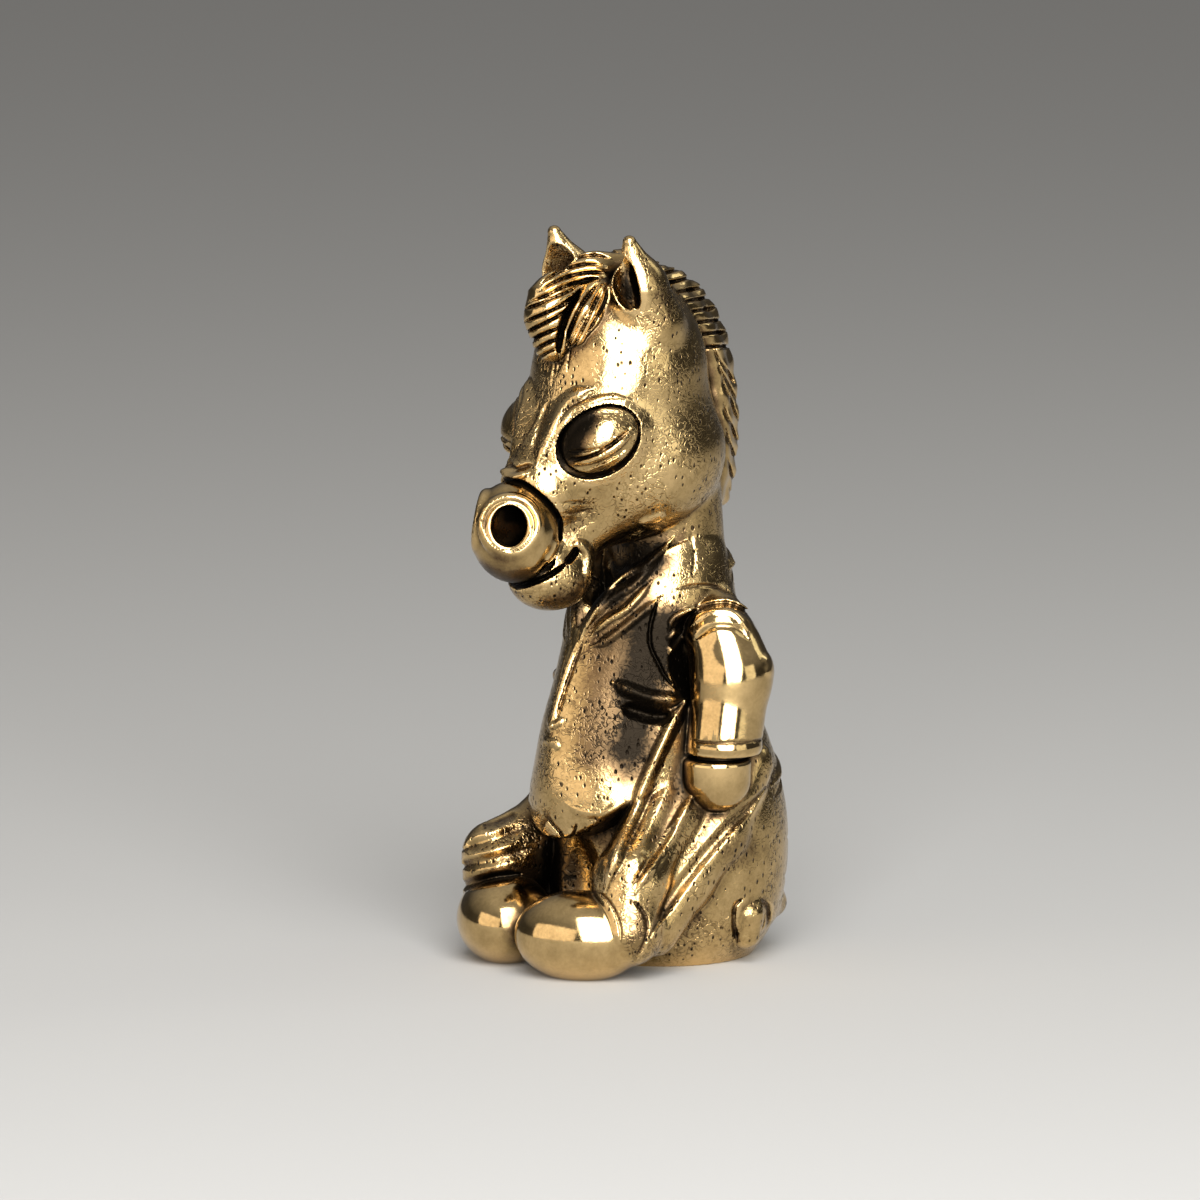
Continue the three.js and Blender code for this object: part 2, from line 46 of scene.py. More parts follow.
VIEW_WIDTH = 0.0732
SENSOR = 36
NEAREST = 0.01


def aim(azimuth, elevation):
    """The direction at an azimuth and an elevation. Azimuth 0 is the figure's front, 90 its left side."""
    a, e = math.radians(azimuth), math.radians(elevation)
    return Vector((math.sin(a) * math.cos(e), -math.cos(a) * math.cos(e), math.sin(e)))


to_camera = aim(VIEW_AZIMUTH, VIEW_ELEVATION)
camera = bpy.data.objects.new("camera", bpy.data.cameras.new("camera"))
camera.data.sensor_width = SENSOR
camera.data.lens = SENSOR * VIEW_DISTANCE / VIEW_WIDTH
camera.data.clip_start = NEAREST
camera.location = VIEW_CENTRE + to_camera * VIEW_DISTANCE
camera.rotation_euler = to_camera.to_track_quat("Z", "Y").to_euler()
bpy.context.collection.objects.link(camera)
bpy.context.scene.camera = camera
bpy.context.scene.view_settings.view_transform = "Standard"

# Studio light: a tall soft box above the camera, a low reflector in front that warms the brass, a weak light
# at its left side and one behind, in a dim room with a pale ceiling, which the brass mirrors.
LIGHTS = {
    # name: azimuth and elevation in degrees, distance, width and height in metres, brightness, colour
    "key": (59, 31, 0.34, 0.27, 0.44, 10, (1, 1, 1)),
    "reflector": (-2, 14, 0.5, 0.6, 0.3, 1.6, (1, 0.88, 0.76)),
    "side": (106, 12, 0.5, 0.26, 0.3, 1.5, (1, 1, 0.92)),
    "rim": (165, 38, 0.4, 0.12, 0.2, 1.4, (0.95, 1, 0.9)),
}
WALL_BRIGHTNESS = 0.06
CEILING_BRIGHTNESS = 0.6
CEILING_START = 0.25
ROOM_COLOUR = (1, 0.98, 0.95, 1)

for name, (azimuth, elevation, distance, width, height, brightness, colour) in LIGHTS.items():
    light = bpy.data.lights.new(name, "AREA")
    light.shape = "RECTANGLE"
    light.size = width
    light.size_y = height
    # Blender spreads an area light's power over pi steradians
    light.energy = brightness * math.pi * width * height
    light.color = colour
    from_centre = aim(azimuth, elevation)
    lamp = bpy.data.objects.new(name, light)
    lamp.location = VIEW_CENTRE + from_centre * distance
    lamp.rotation_euler = from_centre.to_track_quat("Z", "Y").to_euler()
    bpy.context.collection.objects.link(lamp)

room = bpy.data.worlds.new("room")
room.use_nodes = True
sky = room.node_tree
direction = sky.nodes.new("ShaderNodeTexCoord")
height_of = sky.nodes.new("ShaderNodeSeparateXYZ")
ceiling = sky.nodes.new("ShaderNodeMapRange")
sky.links.new(direction.outputs["Generated"], height_of.inputs["Vector"])
sky.links.new(height_of.outputs["Z"], ceiling.inputs["Value"])
sky.links.new(ceiling.outputs["Result"], sky.nodes["Background"].inputs["Strength"])
ceiling.inputs["From Min"].default_value = CEILING_START
ceiling.inputs["To Min"].default_value = WALL_BRIGHTNESS
ceiling.inputs["To Max"].default_value = CEILING_BRIGHTNESS
sky.nodes["Background"].inputs["Color"].default_value = ROOM_COLOUR
bpy.context.scene.world = room

# The floor is a plain sheet of pale matt paper, laid flat under the figurine and large enough to fill the
# picture.
FLOOR_SIZE = 4
PAPER_COLOUR = (0.36, 0.355, 0.345, 1)
PAPER_ROUGHNESS = 0.8
half = FLOOR_SIZE / 2
floor_corners = [(-half, -half, 0), (half, -half, 0), (half, half, 0), (-half, half, 0)]
floor_mesh = bpy.data.meshes.new("floor")
floor_mesh.from_pydata(floor_corners, [], [(0, 1, 2, 3)])
floor = bpy.data.objects.new("floor", floor_mesh)
bpy.context.collection.objects.link(floor)
paper = bpy.data.materials.new("pale_paper")
paper.use_nodes = True
sheet = paper.node_tree.nodes["Principled BSDF"]
sheet.inputs["Base Color"].default_value = PAPER_COLOUR
sheet.inputs["Roughness"].default_value = PAPER_ROUGHNESS
floor_mesh.materials.append(paper)

# The trunk of the figurine: the seat of the trousers, the waist, the shoulders and the neck, modelled in wax
# before casting. A wax form is a function of points, in rows X, Y and Z, that gives their distance from its
# skin. Points p are as they are, points m have X made positive, so that one side serves for both.
FAR = 1.6
TINY = 1e-6
NECK_FILLET = 1.6
SHOULDER_FILLET = 1.2
LAP_ROUNDING = 0.5
SEAT = [
    # height, half width, front, back, and the power of the oval: 2 is an ellipse, less is more pointed
    (-1.5, 4.6, -4, 5.2, 2), (0, 5.6, -5, 6.2, 2), (1.2, 6.5, -5.6, 7, 2), (3.3, 7.3, -6, 7.9, 2),
    (6.4, 7.6, -6, 8.3, 2), (9.5, 7.4, -5.8, 8.1, 2), (13.8, 6.2, -5.2, 7, 2), (17.5, 4.2, -4.4, 5.4, 2),
    (21, 3.7, -3.6, 4.6, 2), (23.5, 3.4, -2.4, 4.6, 2),
]


def at(*numbers):
    return np.array(numbers, np.float32)


def join(a, b, radius):
    """Runs two wax forms together with a fillet."""
    return np.minimum(a, b) - np.maximum(radius - np.abs(a - b), 0) ** 2 / (4 * radius)


def cut(a, b, radius):
    """Takes form b away from form a."""
    return -join(-a, b, radius)


def near(p, low, high, shape):
    """The distance from a small shape, worked out only around its box."""
    distance = np.full(p.shape[1], FAR, np.float32)
    close = ((p >= (low - FAR)[:, None]) & (p <= (high + FAR)[:, None])).all(axis=0)
    if close.any():
        distance[close] = shape(p[:, close])
    return distance


def cone(a, b, radius_a, radius_b):
    """A rounded cone from a to b."""
    a, b = np.asarray(a, np.float32), np.asarray(b, np.float32)
    axis = b - a
    axis_over = axis / max(float(axis @ axis), TINY)

    def distance(p):
        q = p - a[:, None]
        t = np.clip(axis_over @ q, 0, 1)
        q = q - axis[:, None] * t
        return np.sqrt((q * q).sum(axis=0)) - (radius_a + (radius_b - radius_a) * t)

    return distance


def roll(points, radii, fillet=0.6):
    """A row of rounded cones: a limb, a fold of cloth or a lock of hair."""
    points = [np.asarray(point, np.float32) for point in points]
    bones = [cone(a, b, ra, rb) for a, b, ra, rb in zip(points, points[1:], radii, radii[1:])]
    reach = max(radii)
    low, high = np.min(points, axis=0) - reach, np.max(points, axis=0) + reach

    def joined(p):
        distance = bones[0](p)
        for bone in bones[1:]:
            distance = join(distance, bone(p), fillet)
        return distance

    return lambda p: near(p, low, high, joined)


def egg(centre, radii, axes=np.eye(3, dtype=np.float32)):
    """An ellipsoid along the given axes."""
    centre, radii = at(*centre)[:, None], at(*radii)[:, None]

    def distance(p):
        q = (axes @ (p - centre)) / radii
        scaled = np.sqrt((q * q).sum(axis=0))
        q = q / radii
        return scaled * (scaled - 1) / np.maximum(np.sqrt((q * q).sum(axis=0)), TINY)

    return distance


def column(profile):
    """A stack of oval sections, smooth from one to the next."""
    table = np.array(profile, np.float64)
    heights, rows = table[:, 0], table[:, 1:]
    secants = np.diff(rows, axis=0) / np.diff(heights)[:, None]
    slopes = np.vstack([secants[:1], (secants[1:] + secants[:-1]) / 2, secants[-1:]])

    def distance(p):
        z = np.clip(p[2], heights[0], heights[-1])
        i = np.clip(np.searchsorted(heights, z, side="right") - 1, 0, len(heights) - 2)
        step = heights[i + 1] - heights[i]
        t = (z - heights[i]) / step
        a, b = t * t * (3 - 2 * t), t * (1 - t) ** 2 * step
        c = t * t * (t - 1) * step
        sections = (
            rows[i, k] * (1 - a) + rows[i + 1, k] * a + slopes[i, k] * b + slopes[i + 1, k] * c
            for k in range(rows.shape[1])
        )
        half_width, front, back, power = (section.astype(np.float32) for section in sections)
        depth = (back - front) / 2
        x, y = np.abs(p[0]) / half_width, np.abs(p[1] - front - depth) / depth
        scaled = np.maximum((x**power + y**power) ** (1 / power), TINY)
        slope = np.hypot((x / scaled) ** (power - 1) / half_width, (y / scaled) ** (power - 1) / depth)
        return np.maximum((scaled - 1) / slope, np.maximum(heights[0] - p[2], p[2] - heights[-1]))

    return distance


seat = column(SEAT)
shoulders = roll([(0, 1.3, 22.6), (4.3, 1.1, 20.9)], [3, 2.1])
neck = cone((0, 1.2, 21), (0, 0.6, 30), 3.6, 3.5)
lap = egg((0, -8.2, 4.6), (2.6, 3.6, 4.4))


def trunk(m):
    upper = join(shoulders(m), neck(m), NECK_FILLET)
    return cut(join(seat(m), upper, SHOULDER_FILLET), lap(m), LAP_ROUNDING)


# The waistcoat: its hem rises to the sides, its neckline is a V, and armholes are cut out around the sleeves.
# Rolls of cloth run along the neckline, a fold crosses the waist, and the fronts meet in a raised placket,
# all drawn in the wax of the trunk.
CHEST = [
    (6, 4.8, -6.9, 5, 2), (7.7, 5.5, -7.9, 5, 2), (9.9, 5.8, -8.5, 5, 1.9), (12.4, 5.7, -8.4, 5, 1.7),
    (14.8, 5.5, -8, 5, 1.6), (17, 5.3, -7.3, 5, 1.55), (19.6, 5.2, -6.4, 5, 1.6), (22, 5, -5.5, 5, 1.8),
    (24, 4.5, -4.1, 4.6, 2), (26, 3.6, -2.9, 4.2, 2), (27.5, 2.6, -1.6, 3.6, 2),
]
HEM_HEIGHT = 7.9
HEM_RISE = 0.116
NECKLINE = 20.7
NECKLINE_RISE = 1.55
HEM_ROUNDING = 0.3
NECKLINE_ROUNDING = 0.2
ARMHOLE_ROUNDING = 0.12
CLOTH_FILLET = 0.12
vest = column(CHEST)
armhole = egg((7.2, -0.4, 19.2), (3.3, 3.5, 4.1))

# The camera's view and the view from behind, each as its directions across, up and to the viewer.
TO_CAMERA = np.array(to_camera, np.float32)
ACROSS = at(*aim(VIEW_AZIMUTH + 90, 0))
FROM_CAMERA = (ACROSS, np.cross(TO_CAMERA, ACROSS), TO_CAMERA)
FROM_BEHIND = (at(1, 0, 0), at(0, 0, 1), at(0, 1, 0))
CURVE_STEPS = 24
CURVE_NUDGE = 0.05
STROKE_STEPS = 14
STROKE_REACH = 1
ANY_DEPTH = -99
DEPTH_BLEND = 1
TAPER = 0.2
THINNEST = 0.25


def mix(a, b, t):
    return a + (b - a) * t


def smooth_step(x, low, high):
    t = np.clip((x - low) / (high - low), 0, 1)
    return t * t * (3 - 2 * t)


def spline(points, places):
    """Points and directions at the given places, 0 to 1, along a smooth curve through the given points."""
    points = np.array(points, float)
    points = np.vstack([2 * points[0] - points[1], points, 2 * points[-1] - points[-2]])
    fine = []
    for a, b, c, d in zip(points, points[1:], points[2:], points[3:]):
        bend, twist = 2 * a - 5 * b + 4 * c - d, 3 * b - a - 3 * c + d
        for t in np.linspace(0, 1, CURVE_STEPS, endpoint=False):
            fine.append(0.5 * (2 * b + (c - a) * t + bend * t**2 + twist * t**3))
    fine = np.array([*fine, points[-2]])
    length = np.append(0, np.cumsum(np.linalg.norm(np.diff(fine, axis=0), axis=1)))
    where = np.asarray(places) * length[-1]
    spots, ahead, behind = (
        np.stack([np.interp(where + nudge, length, values) for values in fine.T], axis=1)
        for nudge in (0, CURVE_NUDGE, -CURVE_NUDGE)
    )
    return spots, (ahead - behind) / np.linalg.norm(ahead - behind, axis=1, keepdims=True)


def tool(strokes, sharp=False, deeper=ANY_DEPTH, seen=FROM_CAMERA):
    """A wax tool. Its strokes are drawn as they are seen: a height over the skin, sunk where it is negative,
    a half width, and points across and up. It works on skin that lies nearer to the viewer than the given
    depth, and each stroke thins out at its ends."""
    rightwards, upwards, towards = seen
    paths = []
    for height, half_width, points in strokes:
        path = spline(points, np.linspace(0, 1, STROKE_STEPS))[0].astype(np.float32)
        paths.append((height, half_width, path, path.min(axis=0) - half_width, path.max(axis=0) + half_width))

    def work(skin, p):
        out = skin.copy()
        close = np.flatnonzero((np.abs(skin) < STROKE_REACH) & (towards @ p > deeper))
        across, up = rightwards @ p[:, close], upwards @ p[:, close]
        reach = smooth_step(towards @ p[:, close], deeper, deeper + DEPTH_BLEND)
        for height, half_width, path, low, high in paths:
            here = np.flatnonzero((across > low[0]) & (across < high[0]) & (up > low[1]) & (up < high[1]))
            if not len(here):
                continue
            x, y = across[here], up[here]
            mark = np.zeros(len(here), np.float32)
            for i, (a, b) in enumerate(zip(path, path[1:])):
                step = b - a
                t = np.clip(((x - a[0]) * step[0] + (y - a[1]) * step[1]) / max(step @ step, TINY), 0, 1)
                along = (i + t) / (STROKE_STEPS - 1)
                fade = mix(THINNEST, 1, smooth_step(np.minimum(along, 1 - along), 0, TAPER))
                off = np.hypot(x - a[0] - t * step[0], y - a[1] - t * step[1]) / (half_width * fade)
                profile = np.clip(1 - (off if sharp else off * off), 0, 1) ** 2
                mark = np.maximum(mark, profile * fade)
            out[close[here]] -= height * mark * reach[here]
        return out

    return work


CLOTH_STROKES = [
    # the rolls of the neckline: height, half width, points across and up
    (0.3, 0.4, [
        (1.16, 25.43), (-0.61, 23.84), (-2.16, 23.05), (-3.35, 21.77), (-4.09, 20.43), (-4.57, 19.21)
    ]),
    (0.34, 0.5, [
        (0.79, 24.94), (-0.06, 24.09), (-1.23, 22.68), (-2.75, 21.77), (-3.57, 20.93), (-4.14, 20)
    ]),
    (0.26, 0.4, [(-0.18, 22.81), (-1.7, 21.15), (-2.99, 20.37), (-3.91, 19.42)]),
    (0.22, 0.4, [(0.4, 21.77), (-1, 20.7), (-2.17, 19.77), (-3.11, 19.09), (-3.92, 18.79)]),
    # the placket, its line and its two tabs
    (0.16, 0.36, [
        (-4.76, 19.09), (-5.49, 17.32), (-6.28, 14.76), (-6.74, 13.17), (-7.07, 11.59), (-7.2, 10.06)
    ]),
    (-0.14, 0.16, [(-4.39, 19.21), (-5, 17.5), (-5.67, 15.55), (-6.04, 14.21)]),
    (0.14, 0.3, [(-6.46, 13.9), (-6.04, 14.09), (-5.67, 14.39)]),
    (0.14, 0.3, [(-6.59, 12.99), (-6.16, 12.99), (-5.91, 12.62)]),
    # the hem and the notch in it
    (-0.26, 0.14, [(-7.13, 9.39), (-6.65, 8.66), (-6.28, 8.05), (-5.79, 7.5), (-5.43, 6.89)]),
    (-0.2, 0.12, [(-4.76, 8.05), (-4.94, 7.44), (-4.88, 6.89)]),
    (0.12, 0.4, [(-5.43, 9.27), (-4.94, 8.96), (-4.27, 8.72), (-3.05, 8.72), (-1.83, 9.45)]),
    # the fold at the waist and the top of the trouser leg's crease
    (0.6, 0.6, [(-2.62, 16.65), (-1.52, 16.16), (-0.3, 15.73), (0.79, 15.61), (1.77, 15.55)]),
    (-0.7, 0.62, [(-2.01, 15.12), (-1.04, 14.82), (-0.06, 14.57), (1.04, 14.57)]),
    (0.5, 0.6, [(2.01, 15.67), (1.28, 14.57), (0.58, 13.17), (-0.3, 11.24), (-0.91, 9.76), (-1.4, 8.54)]),
    # the edge of the armhole, the seams of the shoulder, the folds in the armhole
    (-0.32, 0.18, [
        (0.3, 21.89), (0.04, 21.31), (-0.3, 20.01), (-0.3, 18.87), (0.18, 17.81), (0.67, 16.89), (1.34, 16.16)
    ]),
    (-0.08, 0.2, [(2.13, 25.91), (2.26, 25), (2.38, 24.09), (2.26, 22.99)]),
    (-0.12, 0.2, [(1.28, 22.26), (2.38, 22.5), (3.66, 22.44), (4.88, 21.89)]),
    (0.22, 0.3, [(0.79, 19.63), (1.04, 20.43), (1.83, 20.91), (2.74, 21.16)]),
    (0.2, 0.3, [(0.79, 18.29), (1.28, 18.9), (2.13, 19.82)]),
    (0.15, 0.3, [(0.67, 19.21), (1.16, 19.57), (1.77, 19.94)]),
]
FAR_SIDE_RELIEF = 0.45
FAR_SIDE_BLEND = 1
BACK_STROKES = [
    # the middle seam, the collar, the hem of the waistcoat and the folds of the seat and the back
    (-0.16, 0.16, [(0, 23.6), (0, 18), (0, 12.6)]),
    (-0.12, 0.14, [(0, 11), (0, 7), (0, 2.5)]),
    (0.26, 0.4, [(0, 24.9), (1.8, 24.7), (3.6, 23.9)]),
    (-0.2, 0.24, [(0, 24.2), (1.9, 24), (3.8, 23.1)]),
    (0.2, 0.4, [(0, 12.4), (3, 12), (6.4, 10.8)]),
    (-0.3, 0.26, [(0, 11.7), (3, 11.3), (6.5, 10.1)]),
    (-0.16, 0.4, [(1.4, 8.2), (3.2, 7.3), (5.6, 7.2)]),
    (-0.14, 0.4, [(1.8, 5.2), (3.6, 4.6), (5.8, 4.9)]),
    (-0.12, 0.4, [(1.2, 19.6), (2.4, 18.2), (3, 16.4)]),
]
cloth_tool = tool(CLOTH_STROKES, deeper=4.5)
back_tool = tool(BACK_STROKES, deeper=2.5, seen=FROM_BEHIND)


def waistcoat(m):
    hem = HEM_HEIGHT + HEM_RISE * m[0] ** 2 - m[2]
    opening = (NECKLINE + NECKLINE_RISE * m[0] - m[2]) / math.hypot(1, NECKLINE_RISE)
    hemmed = cut(vest(m), -hem, HEM_ROUNDING)
    opened = cut(hemmed, np.maximum(opening, m[1]), NECKLINE_ROUNDING)
    return cut(opened, armhole(m), ARMHOLE_ROUNDING)


def clothes(p, m):
    """The trunk in its waistcoat, with weaker folds on the right side."""
    plain = back_tool(join(trunk(m), waistcoat(m), CLOTH_FILLET), m)
    relief = mix(FAR_SIDE_RELIEF, 1, smooth_step(p[0], -FAR_SIDE_BLEND, 0))
    return mix(plain, cloth_tool(plain, m), relief)


# The arms: a sleeve bends at the elbow and ends in a turned cuff, and a forehoof comes out of it at the hip.
# Both are modelled apart and run onto the trunk at the shoulder and the hip.
ARM_X = 6.8
SLEEVE = 2.25
FOREHOOF = 2.08
FOREHOOF_TOP = 13.05
CUFF_END = 13.35
CUFF_ROUNDING = 0.1
FOREHOOF_ROUNDING = 0.4
ELBOW_FILLET = 0.8
SHOULDER = (5.8, 0.6, 20.4)
ELBOW = (ARM_X, 0.6, 18)
WRIST = (ARM_X + 0.3, -0.25, 13.6)

sleeve = roll([SHOULDER, ELBOW, WRIST], [SLEEVE, SLEEVE + 0.1, SLEEVE], ELBOW_FILLET)
pastern = cone((ARM_X + 0.2, -0.45, 13.8), (ARM_X + 0.1, -0.4, 12), 1.5, 1.5)
forehoof = cone((ARM_X + 0.2, -0.6, 14), (ARM_X, -0.55, 9.7 + FOREHOOF), FOREHOOF, FOREHOOF)
SLEEVE_STROKES = [
    # folds round the shoulder, the elbow, the line over the cuff and its turned edge
    (-0.26, 0.3, [(1.71, 20.3), (2.68, 21.1), (4.45, 21.4), (5.91, 20.55), (6.77, 19.09)]),
    (0.12, 0.3, [(2.01, 19.94), (3.11, 20.91), (4.7, 20.91), (5.79, 19.7)]),
    (-0.14, 0.3, [(2.38, 19.21), (3.48, 20), (4.82, 19.94), (5.67, 19.21)]),
    (0.12, 0.5, [(6.71, 18.29), (7.01, 17.74), (6.89, 17.01)]),
    (-0.1, 0.14, [(1.89, 13.23), (2.74, 13.05), (3.96, 12.99), (5.49, 13.05), (7.13, 13.29)]),
    (0.08, 0.4, [(1.89, 12.74), (3.66, 12.56), (5.49, 12.56), (7.13, 12.8)]),
]
sleeve_tool = tool(SLEEVE_STROKES, deeper=6)


def arm(p):
    cuffed = cut(sleeve_tool(sleeve(p), p), p[2] - CUFF_END, CUFF_ROUNDING)
    hoof_below = cut(forehoof(p), FOREHOOF_TOP - p[2], FOREHOOF_ROUNDING)
    return np.minimum(np.minimum(cuffed, pastern(p)), hoof_below)


# The legs: each trouser leg slopes from the hip to the front and ends over a hind hoof. On the left a crease
# runs down it beside a thick roll of cloth. On the right the cloth is pushed up in folds over the knee.
TROUSER = 2.2
KNEE = (5.7, -6.3, 6)
HIP_FILLET = 1.5
KNEE_FILLET = 0.8
CREASE_FILLET = 0.3
HOOF_FILLET = 0.15


def place(azimuth, elevation, turn=0):
    """The axes of a spot on the body: the third faces outwards, the first runs to the right of who faces
    it, and all turn about the third."""
    z = at(*aim(azimuth, elevation))
    x = np.cross(at(0, 0, 1), z)
    x /= np.linalg.norm(x)
    y = np.cross(z, x)
    c, s = math.cos(math.radians(turn)), math.sin(math.radians(turn))
    return np.array([x * c + y * s, y * c - x * s, z], np.float32)


thigh = roll([(4.2, 0.6, 13), (4.5, -2.4, 9.4), KNEE], [2.2, 2.1, TROUSER], HIP_FILLET)
shin = cone(KNEE, (6.2, -7, 3), TROUSER, TROUSER)
outer_roll = roll([(5.7, 2.6, 12.2), (6, 0, 8.2), (6, -2.6, 5.6), (6.2, -5.1, 2.9)], [1.7, 2, 1.9, 1.7])
far_knee = roll([(-5.1, -6.4, 7), (-5.4, -8, 6.1), (-5.6, -8.1, 4.2)], [1.7, 2.1, 2])
hoof = egg((3.75, -8.7, 2.5), (4.1, 3, 2.8), place(0, 90, 35))
LEG_STROKES = [
    # the crease down the leg, the hollow beside it and the ridge and line in that
    (0.6, 0.7, [(1.77, 15.3), (0.58, 13.17), (-0.3, 11.24), (-1.28, 9.02), (-2.29, 6.78), (-3.11, 3.96)]),
    (-0.35, 0.9, [(2.13, 12.8), (1.52, 10.06), (0.3, 7.32), (-0.91, 4.88)]),
    (0.25, 0.45, [(2.38, 10.06), (1.77, 8.84), (0.73, 7.13), (-0.3, 5.55), (-1.22, 3.96)]),
    (-0.16, 0.3, [(1.4, 8.35), (0.49, 6.89), (-0.49, 5.67), (-1.52, 4.33)]),
    # the valley before the outer roll, the lines of the ankle
    (-0.34, 0.55, [(6.71, 10.18), (5.98, 9.33), (4.09, 7.44), (2.17, 5.19), (0.58, 2.99), (-0.37, 1.28)]),
    (-0.1, 0.16, [(-3.48, 3.96), (-2.99, 3.6), (-2.5, 2.93), (-2.13, 1.83), (-2.13, 0.91)]),
    (-0.12, 0.18, [(-1.65, 3.6), (-1.04, 3.17), (-0.55, 2.32), (-0.61, 1.22), (-1.28, -0.12)]),
]
FAR_LEG_STROKES = [
    # the folds over the right knee, from its middle down, and one above
    (-0.34, 0.6, [(-11.77, 6.28), (-10.73, 6.65), (-9.61, 6.95), (-7.99, 7.68)]),
    (-0.3, 0.55, [(-12.01, 5.06), (-11.22, 5.49), (-9.63, 5.83), (-7.62, 6.4)]),
    (-0.24, 0.5, [(-12.13, 3.84), (-11.22, 4.24), (-9.29, 4.7), (-8.23, 4.82)]),
    (-0.16, 0.4, [(-10.67, 7.62), (-9.45, 7.99), (-8.48, 8.48)]),
]
leg_tool = tool(LEG_STROKES, deeper=2)
far_leg_tool = tool(FAR_LEG_STROKES)


def legs(p, m):
    cloth = join(join(thigh(m), shin(m), KNEE_FILLET), outer_roll(m), CREASE_FILLET)
    hooved = join(join(cloth, far_knee(p), KNEE_FILLET), hoof(m), HOOF_FILLET)
    return np.where(p[0] > 0, leg_tool(hooved, m), far_leg_tool(hooved, p))


# The tail: a cord of hair that lies round the foot of the seat from the middle of the back to the left, where
# it ends in a tuft.
tail = roll([(0, 7.2, 3.4), (3.6, 6.3, 2.9), (6.1, 3.4, 2.4)], [0.9, 0.85, 0.5])
tuft = roll([(6.4, 2.6, 4.1), (6.7, 1.95, 3.1), (6.5, 1.9, 1.9)], [0.65, 0.9, 1])
TAIL_STROKES = [
    # a groove on each side of the tuft
    (-0.18, 0.2, [(5.43, 3.48), (4.88, 2.99), (4.82, 1.83), (5.06, 0.67)]),
    (-0.18, 0.2, [(6.4, 3.48), (6.89, 2.87), (6.95, 1.83), (6.65, 0.67)]),
]
tail_tool = tool(TAIL_STROKES, deeper=2)


# The head: skull, cheeks, the long face, the jaw and the lower lip, rounded together. The muzzle is a ball in
# front, set off by a gap, with a nostril on each side, a raised ring around a deep hole.
MUZZLE = 2.7
MUZZLE_CENTRE = at(0, -10.85, 27.05)
MUZZLE_GAP = 0.28
MUZZLE_GAP_DEPTH = 0.7
NOSTRIL_HOLE = (1.08, 1.24)
NOSTRIL_FLOOR = 0.8
NOSTRIL_RIM = 2.03
NOSTRIL_RIM_HEIGHT = 0.8
NOSTRIL_RIM_ROUNDING = 0.55
NOSTRIL_TOP = 2.35
NOSTRIL_WALL = 0.25
GUTTER_RADIUS = 1.5
GUTTER_DEPTH = 0.17
GUTTER_ROUNDING = 0.1
HOLE_ROUNDING = 0.2
SHARP_FILLET = 0.05
RIM_FILLET = 0.12
NOSTRIL_AXES = place(45, 8)
NOSTRIL_CENTRE = MUZZLE_CENTRE + at(0, 0, 0.35)

cranium = egg((0, -2.7, 36.1), (5.3, 5.4, 6.4))
cheeks = egg((0, -1.9, 31.3), (5.5, 6, 5.3))
face = cone((0, -4.4, 33.4), (0, -8.5, 29.6), 4.3, 2.7)
jaw = cone((0, -8, 25.4), (0, -4, 29), 1.7, 2.9)
lower_lip = egg((0, -8.1, 24.1), (2.4, 2.7, 2.1))
muzzle = egg(MUZZLE_CENTRE, (MUZZLE + 0.1, MUZZLE - 0.1, MUZZLE + 0.4))
FACE_STROKES = [
    # the ridge of the brow and the lines beside it
    (0.3, 0.6, [
        (-7.2, 29.7), (-6.89, 30.61), (-6.46, 31.71), (-6.04, 32.74), (-5.43, 33.6), (-4.57, 34.15),
        (-3.72, 34.39)
    ]),
    (-0.1, 0.25, [(-7.44, 30.49), (-7.13, 31.52), (-6.83, 32.62), (-6.4, 33.72)]),
    (0.12, 0.26, [(-6.04, 31.28), (-5.67, 32.26), (-5, 33.11), (-3.9, 33.6), (-2.62, 33.9), (-1.4, 33.66)]),
    # the wrinkle across the nose
    (0.3, 0.36, [(-9.82, 29.45), (-9.45, 29.21), (-8.96, 29.02), (-8.23, 29.15), (-7.62, 29.33)]),
    (-0.22, 0.25, [(-9.57, 29.82), (-8.96, 29.51), (-8.23, 29.57), (-7.32, 29.82)]),
    # the bulge of the jaw, its crease, and the edge under the cheek
    (0.16, 0.5, [(-0.91, 26.16), (-0.18, 26.4), (0.49, 26.71)]),
    (-0.25, 0.3, [(1.52, 26.28), (3.17, 27.44), (4.09, 29.09), (4.45, 30.91)]),
    (0.14, 0.4, [(-3.35, 24.33), (-1.83, 25), (-0.61, 25.73), (0.79, 25.91)]),
    # fine lines on the cheek beside the muzzle
    (-0.05, 0.14, [(-5.79, 27.38), (-5.06, 27.56), (-4.09, 27.44)]),
    (-0.05, 0.14, [(-5.67, 26.89), (-4.94, 26.89), (-3.96, 27.13)]),
]
MOUTH_STROKES = [
    # the corner of the mouth, its line, and the lip and the cheek round its corner
    (-0.75, 0.3, [(-4.76, 24.76), (-5, 24.33), (-5.38, 23.9)]),
    (-0.55, 0.22, [
        (-5.18, 24.09), (-5.79, 23.54), (-6.52, 23.07), (-7.62, 22.62), (-8.6, 22.44), (-9.45, 22.38)
    ]),
    (0.25, 0.5, [(-5.12, 24.94), (-4.57, 25), (-4.09, 24.51), (-3.96, 23.72), (-4.21, 22.87)]),
    (0.16, 0.4, [(-5.79, 25.3), (-6.04, 24.51), (-6.52, 23.84)]),
]
FUR_LINES = 15
FUR_START = (-8.72, 36.77)
FUR_SPACING = (0.256, 0.073)
FUR_LENGTH = 1.83
FUR_JITTER = 0.061


